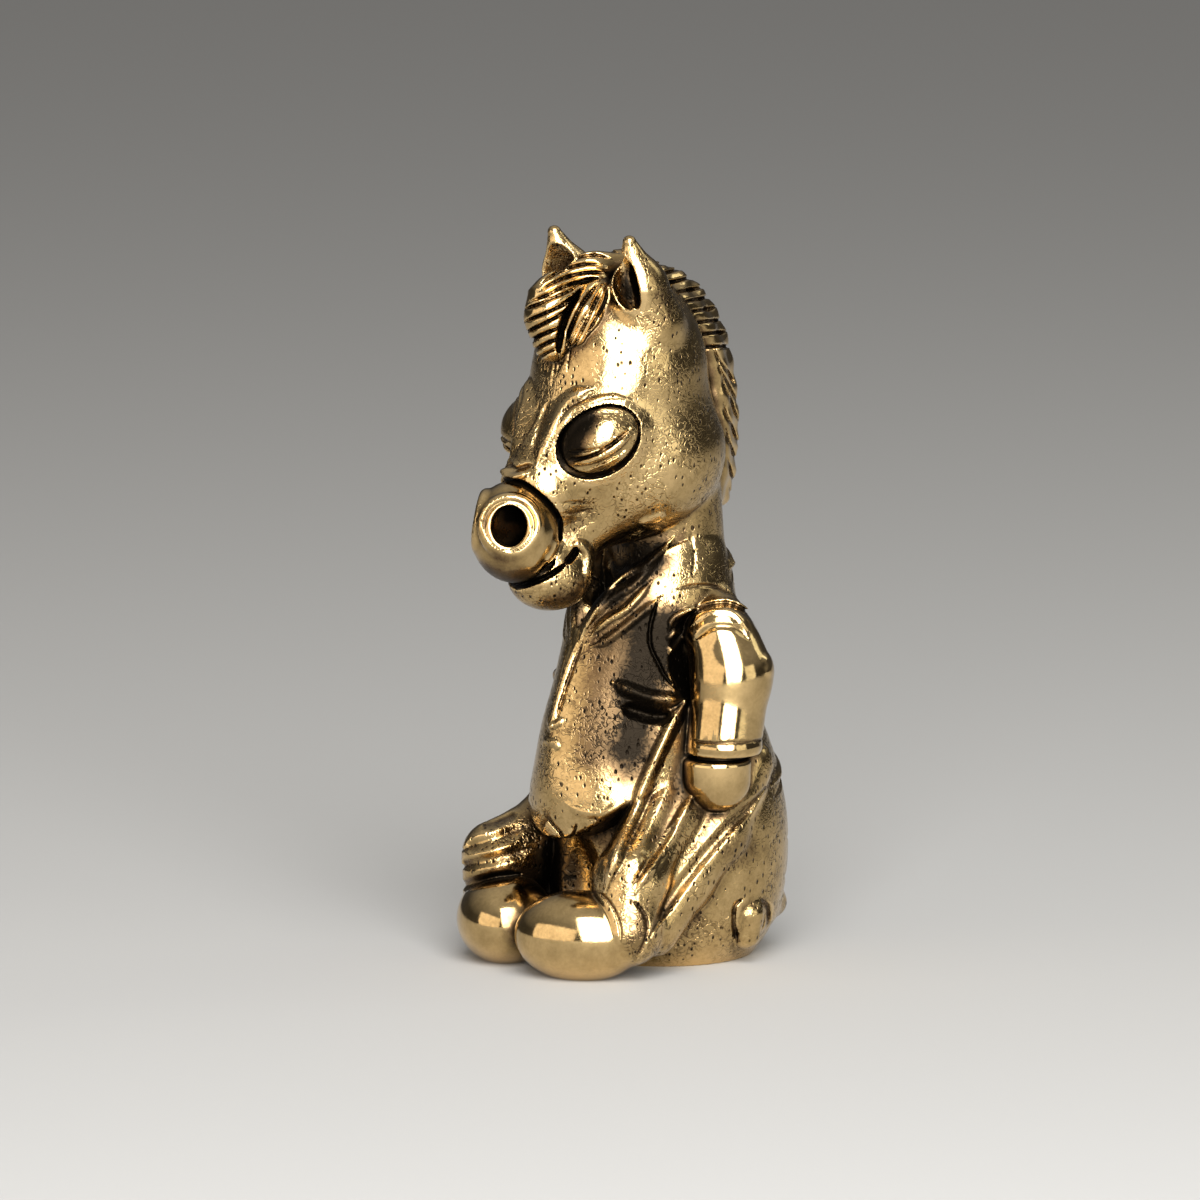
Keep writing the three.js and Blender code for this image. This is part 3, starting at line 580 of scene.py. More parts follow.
def fur_line(i):
    """One of the short lines of fur over the brow. Height, slant and length vary a little along the row."""
    across = FUR_START[0] + FUR_SPACING[0] * i
    up = FUR_START[1] + FUR_SPACING[1] * i - 2 * FUR_JITTER * (i * 7 % 5)
    middle = (across - FUR_JITTER * (3 - i % 3), up - FUR_LENGTH / 2)
    end = (across - FUR_JITTER * (4 + i % 2 * 2), up - FUR_LENGTH - 3 * FUR_JITTER * (i % 4))
    return -0.07, 0.13, [(across, up), middle, end]


face_tool = tool(FACE_STROKES, deeper=6)
fur_tool = tool([fur_line(i) for i in range(FUR_LINES)], sharp=True, deeper=8)
mouth_tool = tool(MOUTH_STROKES, deeper=7)


def snout(p):
    q = NOSTRIL_AXES @ (p - NOSTRIL_CENTRE[:, None])
    across, out = np.hypot(q[0], q[1]), q[2]
    rim_height = NOSTRIL_RIM_HEIGHT - np.abs(out - NOSTRIL_TOP + NOSTRIL_RIM_HEIGHT)
    rim = cut(across - NOSTRIL_RIM, rim_height, NOSTRIL_RIM_ROUNDING)
    ball = cut(muzzle(p), np.maximum(across - NOSTRIL_RIM, NOSTRIL_TOP - out), SHARP_FILLET)
    ringed = join(ball, rim, RIM_FILLET)
    gutter_depth = GUTTER_DEPTH * smooth_step(q[1], -0.5, 0.2)
    gutter = np.hypot(across - GUTTER_RADIUS, out - NOSTRIL_TOP) - gutter_depth
    hole = (np.hypot(q[0] / NOSTRIL_HOLE[0], q[1] / NOSTRIL_HOLE[1]) - 1) * NOSTRIL_HOLE[0]
    bored = np.maximum(np.maximum(hole, -NOSTRIL_FLOOR - out), NOSTRIL_WALL - p[0])
    return cut(cut(ringed, gutter, GUTTER_ROUNDING), bored, HOLE_ROUNDING)


# The eyes: a closed lid bulges inside a groove, with two folds of the lower lid under it. They sit on mounds
# of the skull, and the head is put together round them.
EYE_CENTRE = (2.95, -6.6, 32.75)
EYE_AXES = place(50, -4, 33)
GROOVE_HALF_WIDTH = 0.12
GROOVE_DEPTH = 0.45
GROOVE_WIDENING = 0.04
SKULL_FILLET = 1.5
JAW_FILLET = 0.8
MOUND_FILLET = 0.8
LIP_FILLET = 0.9
LID_FILLET = 0.06
GROOVE_ROUNDING = 0.12
GAP_ROUNDING = 0.12
eye_mound = egg(EYE_CENTRE, (2.9, 2.5, 1.9), EYE_AXES)
eye_groove = egg(EYE_CENTRE, (2.66, 2.02, 4), EYE_AXES)
lid = egg(EYE_CENTRE, (2.6, 1.96, 2.4), EYE_AXES)
LID_STROKES = [
    # the edge of the closed lid and the two folds under it, grooves then ridges
    (-0.12, 0.15, [
        (-5.55, 30.61), (-4.63, 30.61), (-3.84, 30.67), (-3.17, 30.79), (-2.26, 31.34), (-1.59, 32.01)
    ]),
    (-0.3, 0.17, [
        (-5.67, 30.06), (-4.55, 30.15), (-3.6, 30.43), (-2.72, 30.94), (-1.93, 31.59), (-1.34, 32.07)
    ]),
    (-0.32, 0.2, [
        (-5.43, 29.51), (-4.23, 29.63), (-3.2, 29.99), (-2.32, 30.46), (-1.6, 31.1), (-1.04, 31.89)
    ]),
    (0.08, 0.2, [(-5.3, 30.3), (-4.27, 30.37), (-3.35, 30.61), (-2.56, 31.1), (-1.77, 31.77)]),
    (0.12, 0.28, [(-5.06, 29.82), (-3.96, 29.97), (-3.05, 30.37), (-2.26, 30.85), (-1.46, 31.59)]),
]
lid_tool = tool(LID_STROKES, deeper=8)


def eyed(skull, p):
    mounded = join(skull, eye_mound(p), MOUND_FILLET)
    q = EYE_AXES @ (p - at(*EYE_CENTRE)[:, None])
    half_width = GROOVE_HALF_WIDTH + GROOVE_WIDENING * np.clip(-q[0] - q[1], -1.5, 2)
    groove = np.maximum(np.abs(eye_groove(p)) - half_width, -GROOVE_DEPTH - mounded)
    return join(cut(mounded, groove, GROOVE_ROUNDING), lid_tool(lid(p), p), LID_FILLET)


def head(p):
    long_face = join(face(p), jaw(p), JAW_FILLET)
    skull = join(join(cranium(p), cheeks(p), SKULL_FILLET), long_face, SKULL_FILLET)
    skull = fur_tool(face_tool(eyed(skull, p), p), p)
    chin = join(skull, lower_lip(p), LIP_FILLET)
    gap = np.maximum(muzzle(p) - MUZZLE_GAP, -MUZZLE_GAP_DEPTH - chin)
    return mouth_tool(join(cut(chin, gap, GAP_ROUNDING), snout(p), SHARP_FILLET), p)


# The ears: rounded cones of flesh that lean forwards, one on each side of the forelock. Each is dished in
# front around a deep slot.
EAR_AXES = place(40, 8, 14)
DISH_ROUNDING = 0.1
SLOT_ROUNDING = 0.12
ear_flesh = roll([(3.45, -2.9, 39.6), (3.5, -4, 42), (3.7, -4.9, 44.55)], [1.9, 1.6, 0.42], 0.5)
ear_dish = egg((3.5, -5.2, 42.2), (0.82, 1.8, 1.5), EAR_AXES)
ear_slot = egg((3.9, -4.8, 42), (0.5, 1.5, 2.3), EAR_AXES)


def ear(p):
    return cut(cut(ear_flesh(p), ear_dish(p), DISH_ROUNDING), ear_slot(p), SLOT_ROUNDING)


# The mane: a crest of clipped hair down the back of the head. Grooves part it into locks, which stand up on
# the crown and lie along the neck further down.
CREST_STEPS = 12
CREST_RADIUS = 0.75
CREST_SINK = 0.1
CREST_FOOT = 0.95
CREST_FOOT_SINK = 1.6
CREST_HALF_WIDTHS = (1.2, 0.75)
CREST_FILLET = 1.2
GROOVE_BOW = 0.18
CREST = [
    (0, -3.4, 42), (0, -0.6, 42.1), (0, 2.4, 40.9), (0, 4.5, 38.2), (0, 5.45, 34.4), (0, 5.55, 31),
    (0, 5.1, 28),
]
CROWN_LOCKS = [
    # foot and edge of each groove between the locks of the crown, across and up
    ((0, 42.01), (0.79, 41.89)), ((0.24, 41.52), (1.71, 41.46)), ((0.55, 40.98), (2.5, 40.98)),
    ((0.91, 40.37), (3.11, 40.37)), ((1.28, 39.76), (3.41, 39.76)), ((1.65, 39.15), (3.72, 39.09)),
    ((2.01, 38.54), (4.02, 38.35)), ((2.38, 37.87), (4.33, 37.62)), ((2.74, 37.13), (4.63, 36.77)),
]
NECK_LOCKS = [
    # top and tip of each groove between the locks of the neck
    ((3.78, 36.52), (4.94, 34.88)), ((4.02, 35.67), (5.06, 33.72)), ((4.21, 34.88), (5.12, 32.62)),
    ((4.36, 33.05), (5.24, 30.91)), ((4.51, 31.49), (5.18, 29.39)), ((4.63, 29.7), (5.06, 27.56)),
    ((4.76, 27.87), (4.88, 26.22)),
]


def crown_groove(foot, rim):
    """A groove that bows upwards from the foot of the crest to its edge."""
    (ax, ay), (bx, by) = foot, rim
    start = [(ax - GROOVE_BOW, ay - 0.43), (ax, ay - 0.12)]
    middle = ((ax + bx) / 2, (ay + by) / 2 + GROOVE_BOW)
    end = [(bx - GROOVE_BOW, by + 0.43), (bx + GROOVE_BOW, by + 0.61)]
    return -0.28, 0.21, [*start, middle, *end]


def neck_groove(top, tip):
    """A nearly straight groove that slants down to the edge of the crest."""
    (ax, ay), (bx, by) = top, tip
    middle = ((ax + bx) / 2 + 0.06, (ay + by) / 2)
    return -0.15, 0.2, [(ax - GROOVE_BOW, ay + 0.73), (ax, ay), middle, (bx + 0.06, by - 0.06)]


mane_grooves = [crown_groove(*ends) for ends in CROWN_LOCKS] + [neck_groove(*ends) for ends in NECK_LOCKS]
mane_tool = tool(mane_grooves, sharp=True)
crest_points, crest_along = spline(CREST, np.linspace(0, 1, CREST_STEPS + 1))
crest_inwards = np.stack([0 * crest_along[:, 0], crest_along[:, 2], -crest_along[:, 1]], axis=1)
crest_reach = np.linspace(*CREST_HALF_WIDTHS, CREST_STEPS + 1)
crest_edge = roll(crest_points + crest_inwards * CREST_SINK, [CREST_RADIUS] * (CREST_STEPS + 1))
foot_points = crest_points + crest_inwards * CREST_FOOT_SINK + crest_reach[:, None] * at(1, 0, 0)
crest_foot = roll(foot_points, [CREST_FOOT] * (CREST_STEPS + 1))


def mane(m):
    return mane_tool(join(crest_edge(m), crest_foot(m), CREST_FILLET), m)


# The forelock falls over the brow and is swept to the figure's right. It is one mass of hair, parted by sharp
# grooves: long locks over the top, a stack of short ones in front, and a cluster over the left eye.
HAIR_STROKES = [
    # grooves over the top
    (-0.34, 0.26, [(-2.99, 41.77), (-3.96, 41.95), (-5.06, 41.77), (-6.04, 41.34), (-7.01, 40.61)]),
    (-0.4, 0.28, [(-2.87, 41.4), (-3.84, 41.46), (-4.94, 41.28), (-6.04, 40.85), (-7.13, 40.18)]),
    (-0.3, 0.24, [(-2.62, 42.26), (-3.6, 42.5), (-4.76, 42.32), (-5.79, 41.89), (-6.71, 41.34)]),
    (-0.26, 0.22, [(-2.13, 42.62), (-3.35, 42.93), (-4.45, 42.74), (-5.43, 42.38), (-6.28, 41.89)]),
    (-0.3, 0.24, [(-4.88, 42.13), (-6.04, 41.77), (-7.01, 41.16), (-7.8, 40.3)]),
    (-0.26, 0.22, [(-5.67, 42.26), (-6.65, 41.77), (-7.44, 41.1)]),
    (-0.42, 0.28, [
        (-3.17, 41.1), (-4.09, 40.98), (-5.18, 40.67), (-6.04, 40.3), (-6.71, 39.94), (-7.62, 39.63)
    ]),
    # grooves between the short locks in front
    (-0.38, 0.22, [(-4.57, 40.73), (-5.43, 40.18), (-6.4, 39.76), (-7.26, 39.39), (-8.11, 39.15)]),
    (-0.38, 0.22, [(-4.7, 40.18), (-5.3, 39.63), (-6.04, 39.21), (-7.01, 38.78), (-8.05, 38.41)]),
    (-0.38, 0.22, [(-4.88, 39.57), (-5.43, 39.02), (-6.16, 38.6), (-7.01, 38.17), (-7.99, 37.74)]),
    (-0.38, 0.22, [(-5.67, 38.11), (-6.28, 37.87), (-7.01, 37.56), (-7.87, 37.13)]),
    (-0.36, 0.22, [(-5.79, 37.44), (-6.4, 37.2), (-7.01, 36.89), (-7.8, 36.46)]),
    (-0.3, 0.18, [(-5.79, 36.89), (-6.34, 36.65), (-6.95, 36.34), (-7.62, 35.91)]),
    # the gap beside them
    (-0.9, 0.3, [
        (-4.45, 40.55), (-4.94, 39.63), (-5.43, 38.72), (-5.73, 37.8), (-5.85, 36.89), (-5.79, 36.16)
    ]),
    # grooves in the cluster over the left eye
    (-0.5, 0.26, [(-3.35, 40.91), (-3.96, 40.12), (-4.57, 39.21), (-5.06, 38.11), (-5.43, 36.89)]),
    (-0.26, 0.16, [(-3.84, 39.33), (-4.45, 38.41), (-5, 37.5), (-5.37, 36.77)]),
    (-0.36, 0.22, [(-3.17, 40.67), (-3.6, 39.7), (-4.09, 38.6), (-4.7, 37.38), (-5.18, 36.52)]),
    (-0.3, 0.22, [(-2.87, 40.55), (-3.11, 39.57), (-3.6, 38.6), (-4.21, 37.62)]),
]
LOCK_FILLET = 0.5
FRINGE_FILLET = 0.8
hair_tool = tool(HAIR_STROKES, sharp=True, deeper=5)
hair_top = roll([(0.8, -3, 42.7), (0.2, -5.2, 42.5), (-0.2, -6.9, 41.6)], [1.1, 1.15, 1.0])
hair_front = roll([(-0.1, -7.9, 41.2), (0, -8.1, 39.9), (0.3, -8.15, 38.4)], [1.45, 1.45, 1.2])
hair_side = roll([(1.5, -5.6, 41.4), (1.9, -7, 40.2), (1.9, -7.6, 38.9)], [0.9, 0.95, 0.6])
hair_far = roll([(-0.8, -5, 42.2), (-1.7, -6.6, 40.9), (-1.5, -7.4, 39.2)], [1, 1, 0.8])


def forelock(p):
    fringe = join(hair_top(p), hair_front(p), FRINGE_FILLET)
    sides = join(hair_side(p), hair_far(p), LOCK_FILLET)
    return hair_tool(join(fringe, sides, LOCK_FILLET), p)


# The casting: the wax forms run together and are cast in brass as one solid piece, cut flat underneath. Its
# skin is meshed finely on a grid of cells, then thinned where it is plain. FORWARD is the step to the part's
# frame, whose origin lies in the middle of the figurine's box.
RIGHT_ARM_BACK = 0.9
LEG_FILLET = 0.2
ARM_FILLET = 0.15
EAR_FILLET = 0.9
HEAD_FILLET = 0.3
HAIR_FILLET = 0.15
TAIL_FILLET = 0.4
CELL = 0.12
BLOCK = 5
BLOCK_MARGIN = 1.5
BATCH = 400000
SLOPE_STEP = 0.02
LEAST_STEEPNESS = 0.1
SETTLING_ROUNDS = 2
TRIANGLES = 190000
FORWARD = 2.705
LOW, HIGH = at(-9.9, -14, -0.5), at(9.9, 8.8, 45.3)


def both_sides(p):
    """The points with X made positive, and the same for the arms, of which the right one is set back."""
    m = np.concatenate([np.abs(p[:1]), p[1:]])
    shifted = m.copy()
    shifted[1] -= RIGHT_ARM_BACK * (p[0] < 0)
    return m, shifted


def figure(p):
    m, shifted = both_sides(p)
    limbed = join(join(clothes(p, m), legs(p, m), LEG_FILLET), arm(shifted), ARM_FILLET)
    headed = join(limbed, join(head(m), ear(m), EAR_FILLET), HEAD_FILLET)
    haired = join(join(headed, mane(m), HAIR_FILLET), forelock(p), HAIR_FILLET)
    whole = tail_tool(join(join(haired, tail(p), TAIL_FILLET), tuft(p), HAIR_FILLET), p)
    return np.maximum(whole, -p[2]).astype(np.float32)


def in_batches(shape, p):
    return np.concatenate([shape(p[:, i:i + BATCH]) for i in range(0, p.shape[1], BATCH)])


def field_of(shape):
    """The distances on a fine grid. Only blocks near the skin are worked out finely."""
    blocks = np.ceil((HIGH - LOW) / (CELL * BLOCK)).astype(int)
    block_at = np.stack(np.meshgrid(*(np.arange(n) for n in blocks), indexing="ij"), axis=-1).reshape(-1, 3)
    centres = LOW + (block_at + 0.5 - 0.5 / BLOCK) * CELL * BLOCK
    coarse = in_batches(shape, np.ascontiguousarray(centres.T, np.float32))
    field = coarse.reshape(blocks)
    for axis in range(3):
        field = field.repeat(BLOCK, axis=axis)
    near_skin = block_at[np.abs(coarse) < BLOCK_MARGIN * CELL * BLOCK]
    inner = np.stack(np.meshgrid(*[np.arange(BLOCK)] * 3, indexing="ij"), axis=-1).reshape(1, -1, 3)
    grid_at = (near_skin[:, None] * BLOCK + inner).reshape(-1, 3)
    points = (LOW + grid_at * CELL).T.astype(np.float32)
    field[tuple(grid_at.T)] = in_batches(shape, np.ascontiguousarray(points))
    return field


def net_of(field):
    """A closed net of quads: a vertex in each cell that the skin crosses, a quad round each crossed edge."""
    inside = field < 0
    corners = np.array([(i, j, k) for i in (0, 1) for j in (0, 1) for k in (0, 1)])
    size = np.array(field.shape) - 1
    count = sum(
        inside[i:i + size[0], j:j + size[1], k:k + size[2]].astype(np.uint8) for i, j, k in corners
    )
    cells = np.argwhere((count > 0) & (count < 8))
    number = np.full(size, -1, np.int32)
    number[tuple(cells.T)] = np.arange(len(cells))
    values = np.stack([field[tuple((cells + corner).T)] for corner in corners], axis=1)
    total, hits = np.zeros((len(cells), 3)), np.zeros((len(cells), 1))
    for a in range(8):
        for b in range(a + 1, 8):
            if np.abs(corners[a] - corners[b]).sum() != 1:
                continue
            crossed = (values[:, a] < 0) != (values[:, b] < 0)
            drop = np.where(crossed, values[:, a] - values[:, b], 1)
            t = np.where(crossed, values[:, a] / drop, 0)[:, None]
            total += crossed[:, None] * (corners[a] + t * (corners[b] - corners[a]))
            hits += crossed[:, None]
    points = LOW + (cells + total / hits) * CELL
    quads = []
    unit = np.eye(3, dtype=int)
    for axis in range(3):
        u, v = (axis + 1) % 3, (axis + 2) % 3
        step, back_u, back_v = unit[axis], unit[u], unit[v]
        first = inside[tuple(slice(0, n - s) for n, s in zip(inside.shape, step))]
        second = inside[tuple(slice(s, None) for s in step)]
        for outwards in (True, False):
            edges = np.argwhere(first & ~second if outwards else ~first & second)
            edges = edges[(edges[:, u] > 0) & (edges[:, v] > 0)]
            ring_of = [edges - back_u - back_v, edges - back_v, edges, edges - back_u]
            ids = np.stack([number[tuple(cell.T)] for cell in ring_of], axis=1)
            quads.append(ids if outwards else ids[:, ::-1])
    return points.T.astype(np.float32), np.concatenate(quads)


def slope_of(shape, p):
    slope = np.empty_like(p)
    for k in range(3):
        q = p.copy()
        q[k] += SLOPE_STEP
        ahead = in_batches(shape, q)
        q[k] -= 2 * SLOPE_STEP
        slope[k] = (ahead - in_batches(shape, q)) / (2 * SLOPE_STEP)
    return slope


points, quads = net_of(field_of(figure))
slope = slope_of(figure, points)
steepness = np.maximum((slope * slope).sum(axis=0), LEAST_STEEPNESS)
for _ in range(SETTLING_ROUNDS):
    points = points - slope * np.clip(in_batches(figure, points) / steepness, -0.5 * CELL, 0.5 * CELL)

mesh = bpy.data.meshes.new("horse_figurine_brass")
cast = points.T / 1000 + np.array([0, FORWARD / 1000, 0])
mesh.from_pydata(cast.tolist(), [], quads.tolist())
figurine = bpy.data.objects.new("horse_figurine_brass", mesh)
bpy.context.collection.objects.link(figurine)
thinner = figurine.modifiers.new("thin", "DECIMATE")
thinner.ratio = min(1, TRIANGLES / (2 * len(quads)))
thinned = bpy.data.meshes.new_from_object(figurine.evaluated_get(bpy.context.evaluated_depsgraph_get()))
figurine.modifiers.clear()
figurine.data = thinned
flat = np.empty(3 * len(thinned.vertices), np.float32)
thinned.vertices.foreach_get("co", flat)
points = np.ascontiguousarray((flat.reshape(-1, 3) * 1000 - at(0, FORWARD, 0)).T)
normals = slope_of(figure, points)
normals /= np.maximum(np.linalg.norm(normals, axis=0), TINY)

# The blackening and the polish of the casting: patina stays where the skin lies hollow, which shows in how
# near other skin is in front of it. Measured out to 5 mm, the same hollowness also paints shade into the
# colour under the chin, beside the arm and between the legs, where shade falls. Edges that stand out are
# rubbed bright.
# The hair, muzzle, lids, sleeves and hooves are polished smoother than the pitted rest.
HOLLOW_REACHES = (0.15, 0.4, 1, 2.5, 5)
HOLLOW_TILT = 0.9
EDGE_REACH = 0.3
ASLANT = at(0.36, 0.48, 0.8)
LID_MARGIN = 0.3
PITS_START, PITS_FULL = 0.1, 0.5
across = np.cross(normals.T, ASLANT).T
across /= np.maximum(np.linalg.norm(across, axis=0), TINY)
beside = np.cross(normals.T, across.T).T
leans = [normals, *(normals + HOLLOW_TILT * side for side in (across, -across, beside, -beside))]
# hollow: patina in small recesses, and painted shade where other skin lies within a few millimetres
hollow = np.zeros(points.shape[1], np.float32)
for reach in HOLLOW_REACHES:
    for lean in leans:
        lean = lean / np.linalg.norm(lean, axis=0)
        gap = in_batches(figure, points + lean * reach) / (reach * (lean * normals).sum(axis=0))
        hollow += np.clip(1 - gap, 0, 1) / (len(leans) * len(HOLLOW_REACHES))
edge = np.clip(1 + in_batches(figure, points - normals * EDGE_REACH) / EDGE_REACH, 0, 1)


def polished(p):
    m, shifted = both_sides(p)
    smooth_parts = (
        muzzle(m), lid(m) + LID_MARGIN, mane(m), forelock(p), sleeve(shifted), forehoof(shifted), hoof(m)
    )
    return np.minimum.reduce(smooth_parts)


pitted = smooth_step(in_batches(polished, points), PITS_START, PITS_FULL)

# Painted shade and painted highlight, drawn as strokes in the camera's view: negative strokes darken the
# colour where shade falls, beside the arm, under the chin, in the lap and in the holes, where real patina
# also stays.
# Positive strokes paint the cheek and the brow brighter, a painted highlight.
PATINA_SHADE_AND_HIGHLIGHT_STROKES = [
    # painted shade on the waistcoat beside the arm, in the armhole and at the neckline, and a painted dark
    # reflection on the front end of the left lid
    (-0.45, 2.1, [(-0.43, 22.38), (-0.61, 19.21), (-0.85, 16.16), (-1.34, 13.11), (-2.13, 10.06)]),
    (-0.3, 1.2, [(1.16, 21.65), (0.79, 19.21), (1.04, 16.16)]),
    (-0.44, 1.6, [(-3.6, 21.28), (-1.65, 22.99), (0.79, 24.57)]),
    (-0.5, 1.2, [(-5.18, 29.94), (-4.82, 31.52), (-3.72, 32.99)]),
    # painted highlight: the cheek and the brow made brighter
    (0.1, 2.6, [(-0.2, 33.4), (0.2, 30.4), (-1.6, 28)]),
    (0.12, 1.6, [(-7.4, 35.6), (-6.9, 33.4)]),
    # painted shade under the muzzle, in the nostril, in the lap, in the left ear and behind it; in the
    # nostril and the ear this is also patina
    (-0.34, 1.2, [(-11.04, 23.72), (-9.21, 22.87), (-7.01, 22.99)]),
    (-0.7, 1.15, [(-8.6, 27.01), (-8.6, 25.55)]),
    (-0.3, 1.7, [(-6.28, 6.4), (-5.43, 4.21)]),
    (-0.3, 0.8, [(-1.65, 41.77), (-1.46, 39.94)]),
    (-0.1, 1.0, [(-0.18, 41.77), (0.55, 39.33), (1.28, 37.5)]),
    # weaker painted shade: the waistcoat, the throat, the seat, the ankle, the muzzle and the thigh
    (-0.24, 2.2, [(-2.62, 20.43), (-3.23, 16.16), (-3.96, 10.67)]),
    (-0.2, 1.0, [(-7.01, 21.4), (-5.06, 21.89), (-4.21, 23.17)]),
    (-0.1, 1.6, [(3.96, 6.4), (6.4, 6.4)]),
    (-0.14, 1.3, [(-0.55, 3.35), (-1.28, 0.3)]),
    (-0.14, 0.7, [(-9.94, 27.74), (-10.3, 25.91), (-9.45, 24.33), (-7.93, 24.09)]),
    (-0.12, 1.2, [(2.01, 12.5), (1.28, 9.45), (-0.3, 6.4)]),
]
# the painted shade and highlight strokes, with the patina of the holes, as a value at each spot of the skin
shade_highlight_and_patina = tool(PATINA_SHADE_AND_HIGHLIGHT_STROKES, deeper=-1)(np.zeros(points.shape[1], np.float32), points)
for name, values in (("hollow", hollow), ("edge", edge), ("pitted", pitted), ("shade_highlight_and_patina", shade_highlight_and_patina)):
    thinned.attributes.new(name, "FLOAT", "POINT").data.foreach_set("value", values.astype(np.float32))
thinned.shade_smooth()
thinned.normals_split_custom_set_from_vertices(normals.T.tolist())

# The finish: cast brass, blackened, then polished where a buffing wheel reaches. Brown and black patina stays
# in the hollows and in the fine pits and worm-like marks of the casting. The same darkening also paints shade
# into the colour where other skin is near and where the shade strokes put it, and the brighter strokes paint
# highlights. Scales are per millimetre.
BLOTCH_SCALE, BLOTCH_SHARE = 0.9, 0.24
GRIT_SCALE, GRIT_SHARE = 5.0, 0.12
HOLLOW_SHARE = 0.95
EDGE_SHARE = 0.5
PIT_SCALE, PIT_SHARE = 1.5, 0.4
PIT_ZONE_SCALE = 0.5
PIT_STRETCH = (1.7, 1.7, 1)
PIT_TURN = (0.5, 0.3, 0.4)
PIT_RADII = (0.12, 0.3)
WORM_SCALE, WORM_SHARE = 2.6, 0.14
WORM_ZONE_SCALE = 0.35
WORM_WIDTH = 0.16
WORM_RELIEF = 0.28
GRIT_RELIEF = 0.07
RELIEF_STRENGTH = 0.7
RELIEF_DEPTH = 0.00008
POLISHED_ROUGHNESS, DARK_ROUGHNESS = 0.11, 0.4
PITTED_ROUGHNESS = 0.05
GRIT_ROUGHNESS = 0.1
PATINA_AND_SHADE_COLOURS = [
    # how much patina and painted shade, colour
    (0.1, (0.72, 0.51, 0.24)), (0.26, (0.42, 0.29, 0.125)), (0.41, (0.14, 0.088, 0.042)),
    (0.6, (0.012, 0.009, 0.006)),
]
brass = bpy.data.materials.new("antiqued_brass")
brass.use_nodes = True
nodes, links = brass.node_tree.nodes, brass.node_tree.links
metal = nodes["Principled BSDF"]
metal.inputs["Metallic"].default_value = 1


def node(kind, **settings):
    made = nodes.new("ShaderNode" + kind)
    for name, value in settings.items():
        setattr(made, name, value)
    return made


def feed(socket, value):
    if isinstance(value, bpy.types.NodeSocket):
        links.new(value, socket)
    else:
        socket.default_value = value


def maths(operation, a, b):
    made = node("Math", operation=operation)
    feed(made.inputs[0], a)
    feed(made.inputs[1], b)
    return made.outputs[0]


def spread(value, low, high, to_low=0.0, to_high=1.0):
    made = node("MapRange", interpolation_type="SMOOTHSTEP")
    for socket, number in zip(made.inputs, (value, low, high, to_low, to_high)):
        feed(socket, number)
    return made.outputs[0]


def noise(vector, scale, detail=2.0, roughness=0.5, distortion=0.0):
    made = node("TexNoise")
    feed(made.inputs["Vector"], vector)
    settings = {"Scale": scale, "Detail": detail, "Roughness": roughness, "Distortion": distortion}
    for name, value in settings.items():
        made.inputs[name].default_value = value
    return made.outputs[0]


place_on = node("TexCoord").outputs["Object"]
millimetres = node("VectorMath", operation="SCALE")
feed(millimetres.inputs[0], place_on)
millimetres.inputs["Scale"].default_value = 1000
millimetres = millimetres.outputs[0]


def attribute(name):
    """What the script stored at each spot of the skin: hollowness, rubbed edges, pits, and the painted shade
    and highlight strokes.
    """
    return node("Attribute", attribute_name=name).outputs["Fac"]


def centred(value, amount):
    return maths("MULTIPLY", maths("SUBTRACT", value, 0.5), amount)


blotches = noise(millimetres, BLOTCH_SCALE, 4.0, 0.65)
grit = noise(millimetres, GRIT_SCALE, 3.0, 0.6)
# The darkness: patina in the hollows with painted shade where other skin is near, random blotches, the
# painted shade and highlight strokes, grit, and less on rubbed edges.
patina_and_shade = maths("MULTIPLY", attribute("hollow"), HOLLOW_SHARE)
patina_and_shade = maths("ADD", patina_and_shade, centred(blotches, BLOTCH_SHARE))
patina_and_shade = maths("ADD", patina_and_shade, attribute("shade_highlight_and_patina"))
patina_and_shade = maths("ADD", patina_and_shade, centred(grit, GRIT_SHARE))
patina_and_shade = maths("SUBTRACT", patina_and_shade, maths("MULTIPLY", attribute("edge"), EDGE_SHARE))

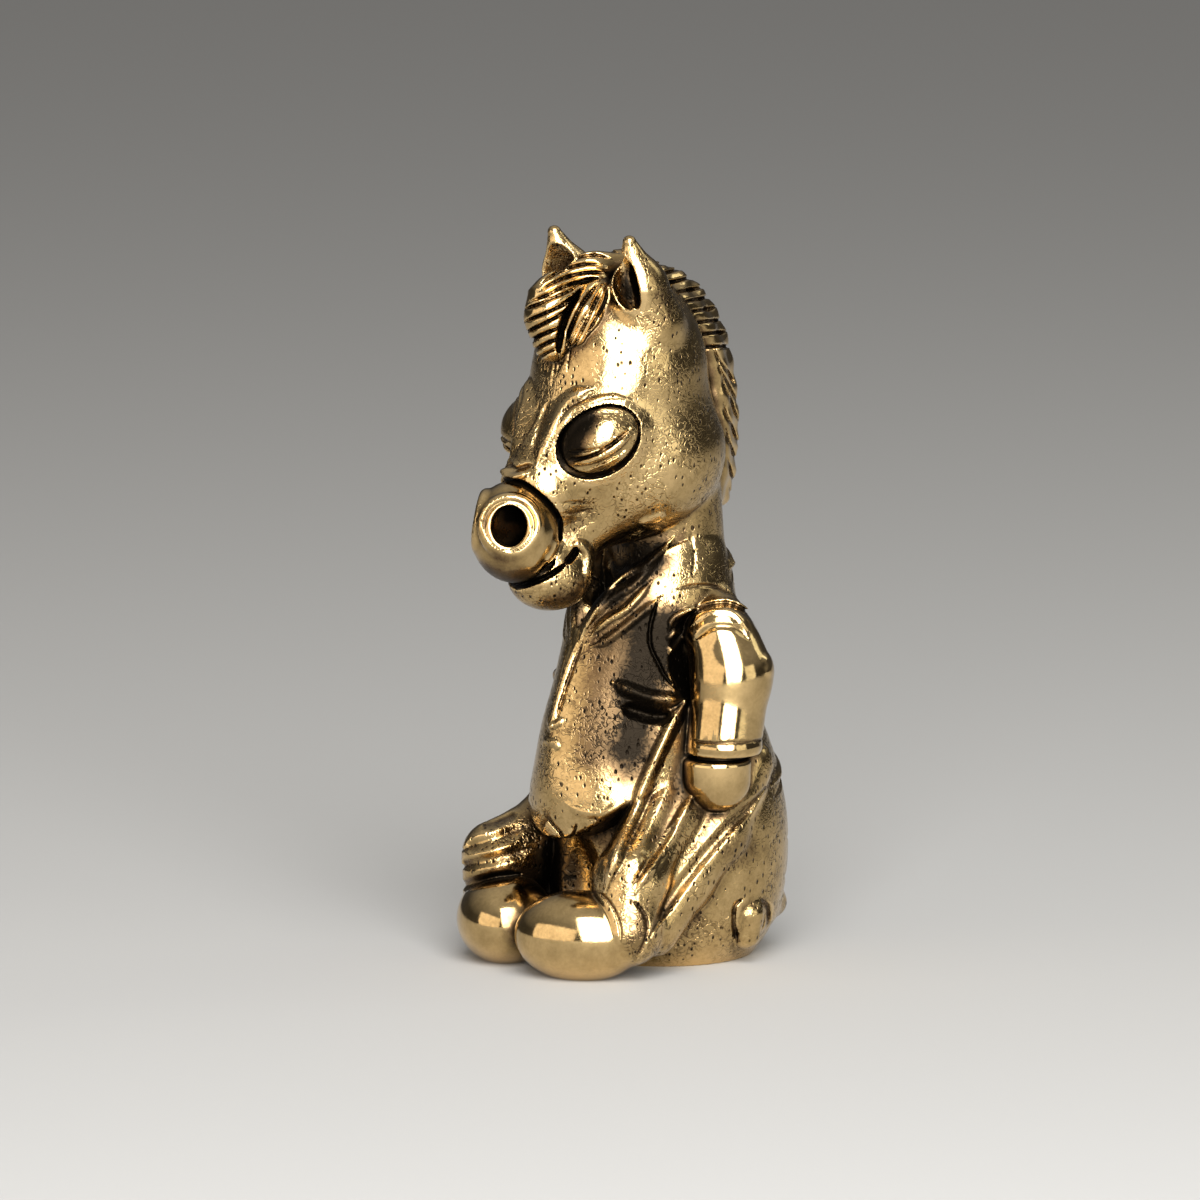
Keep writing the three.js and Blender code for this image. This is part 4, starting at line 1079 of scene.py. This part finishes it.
stretched = node("Mapping")
feed(stretched.inputs["Vector"], millimetres)
stretched.inputs["Rotation"].default_value = PIT_TURN
stretched.inputs["Scale"].default_value = PIT_STRETCH
cells = node("TexVoronoi")
feed(cells.inputs["Vector"], stretched.outputs[0])
cells.inputs["Scale"].default_value = PIT_SCALE
pit_radius = spread(noise(millimetres, PIT_ZONE_SCALE), 0.3, 0.55, *PIT_RADII)
pits = maths("MULTIPLY", spread(cells.outputs["Distance"], pit_radius, 0.03), attribute("pitted"))

worms = maths("ABSOLUTE", centred(noise(millimetres, WORM_SCALE, 1.5, 0.5, 0.6), 2.0), 0.0)
worms = maths("MULTIPLY", spread(worms, WORM_WIDTH, 0.0), attribute("pitted"))
worm_zones = spread(noise(millimetres, WORM_ZONE_SCALE), 0.42, 0.6, 0.25, 1.0)
worms = maths("MULTIPLY", worms, worm_zones)

tint = node("ValToRGB")
stops = tint.color_ramp.elements
for i, (position, colour) in enumerate(PATINA_AND_SHADE_COLOURS):
    stop = stops[i] if i < len(stops) else stops.new(position)
    stop.position = position
    stop.color = (*colour, 1)
darkness = maths("ADD", patina_and_shade, maths("MULTIPLY", pits, PIT_SHARE))
darkness = maths("ADD", darkness, maths("MULTIPLY", worms, WORM_SHARE))
feed(tint.inputs["Fac"], darkness)
feed(metal.inputs["Base Color"], tint.outputs["Color"])
rough = spread(patina_and_shade, 0.2, 0.6, POLISHED_ROUGHNESS, DARK_ROUGHNESS)
rough = maths("ADD", rough, maths("MULTIPLY", attribute("pitted"), PITTED_ROUGHNESS))
feed(metal.inputs["Roughness"], maths("ADD", rough, centred(grit, GRIT_ROUGHNESS)))

relief_height = maths("MULTIPLY", pits, -1.0)
relief_height = maths("SUBTRACT", relief_height, maths("MULTIPLY", worms, WORM_RELIEF))
relief_height = maths("ADD", relief_height, maths("MULTIPLY", grit, GRIT_RELIEF))
bump = node("Bump")
bump.inputs["Strength"].default_value = RELIEF_STRENGTH
bump.inputs["Distance"].default_value = RELIEF_DEPTH
feed(bump.inputs["Height"], relief_height)
feed(metal.inputs["Normal"], bump.outputs[0])
thinned.materials.clear()
thinned.materials.append(brass)

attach(figurine, "root")
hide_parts("horse_figurine")
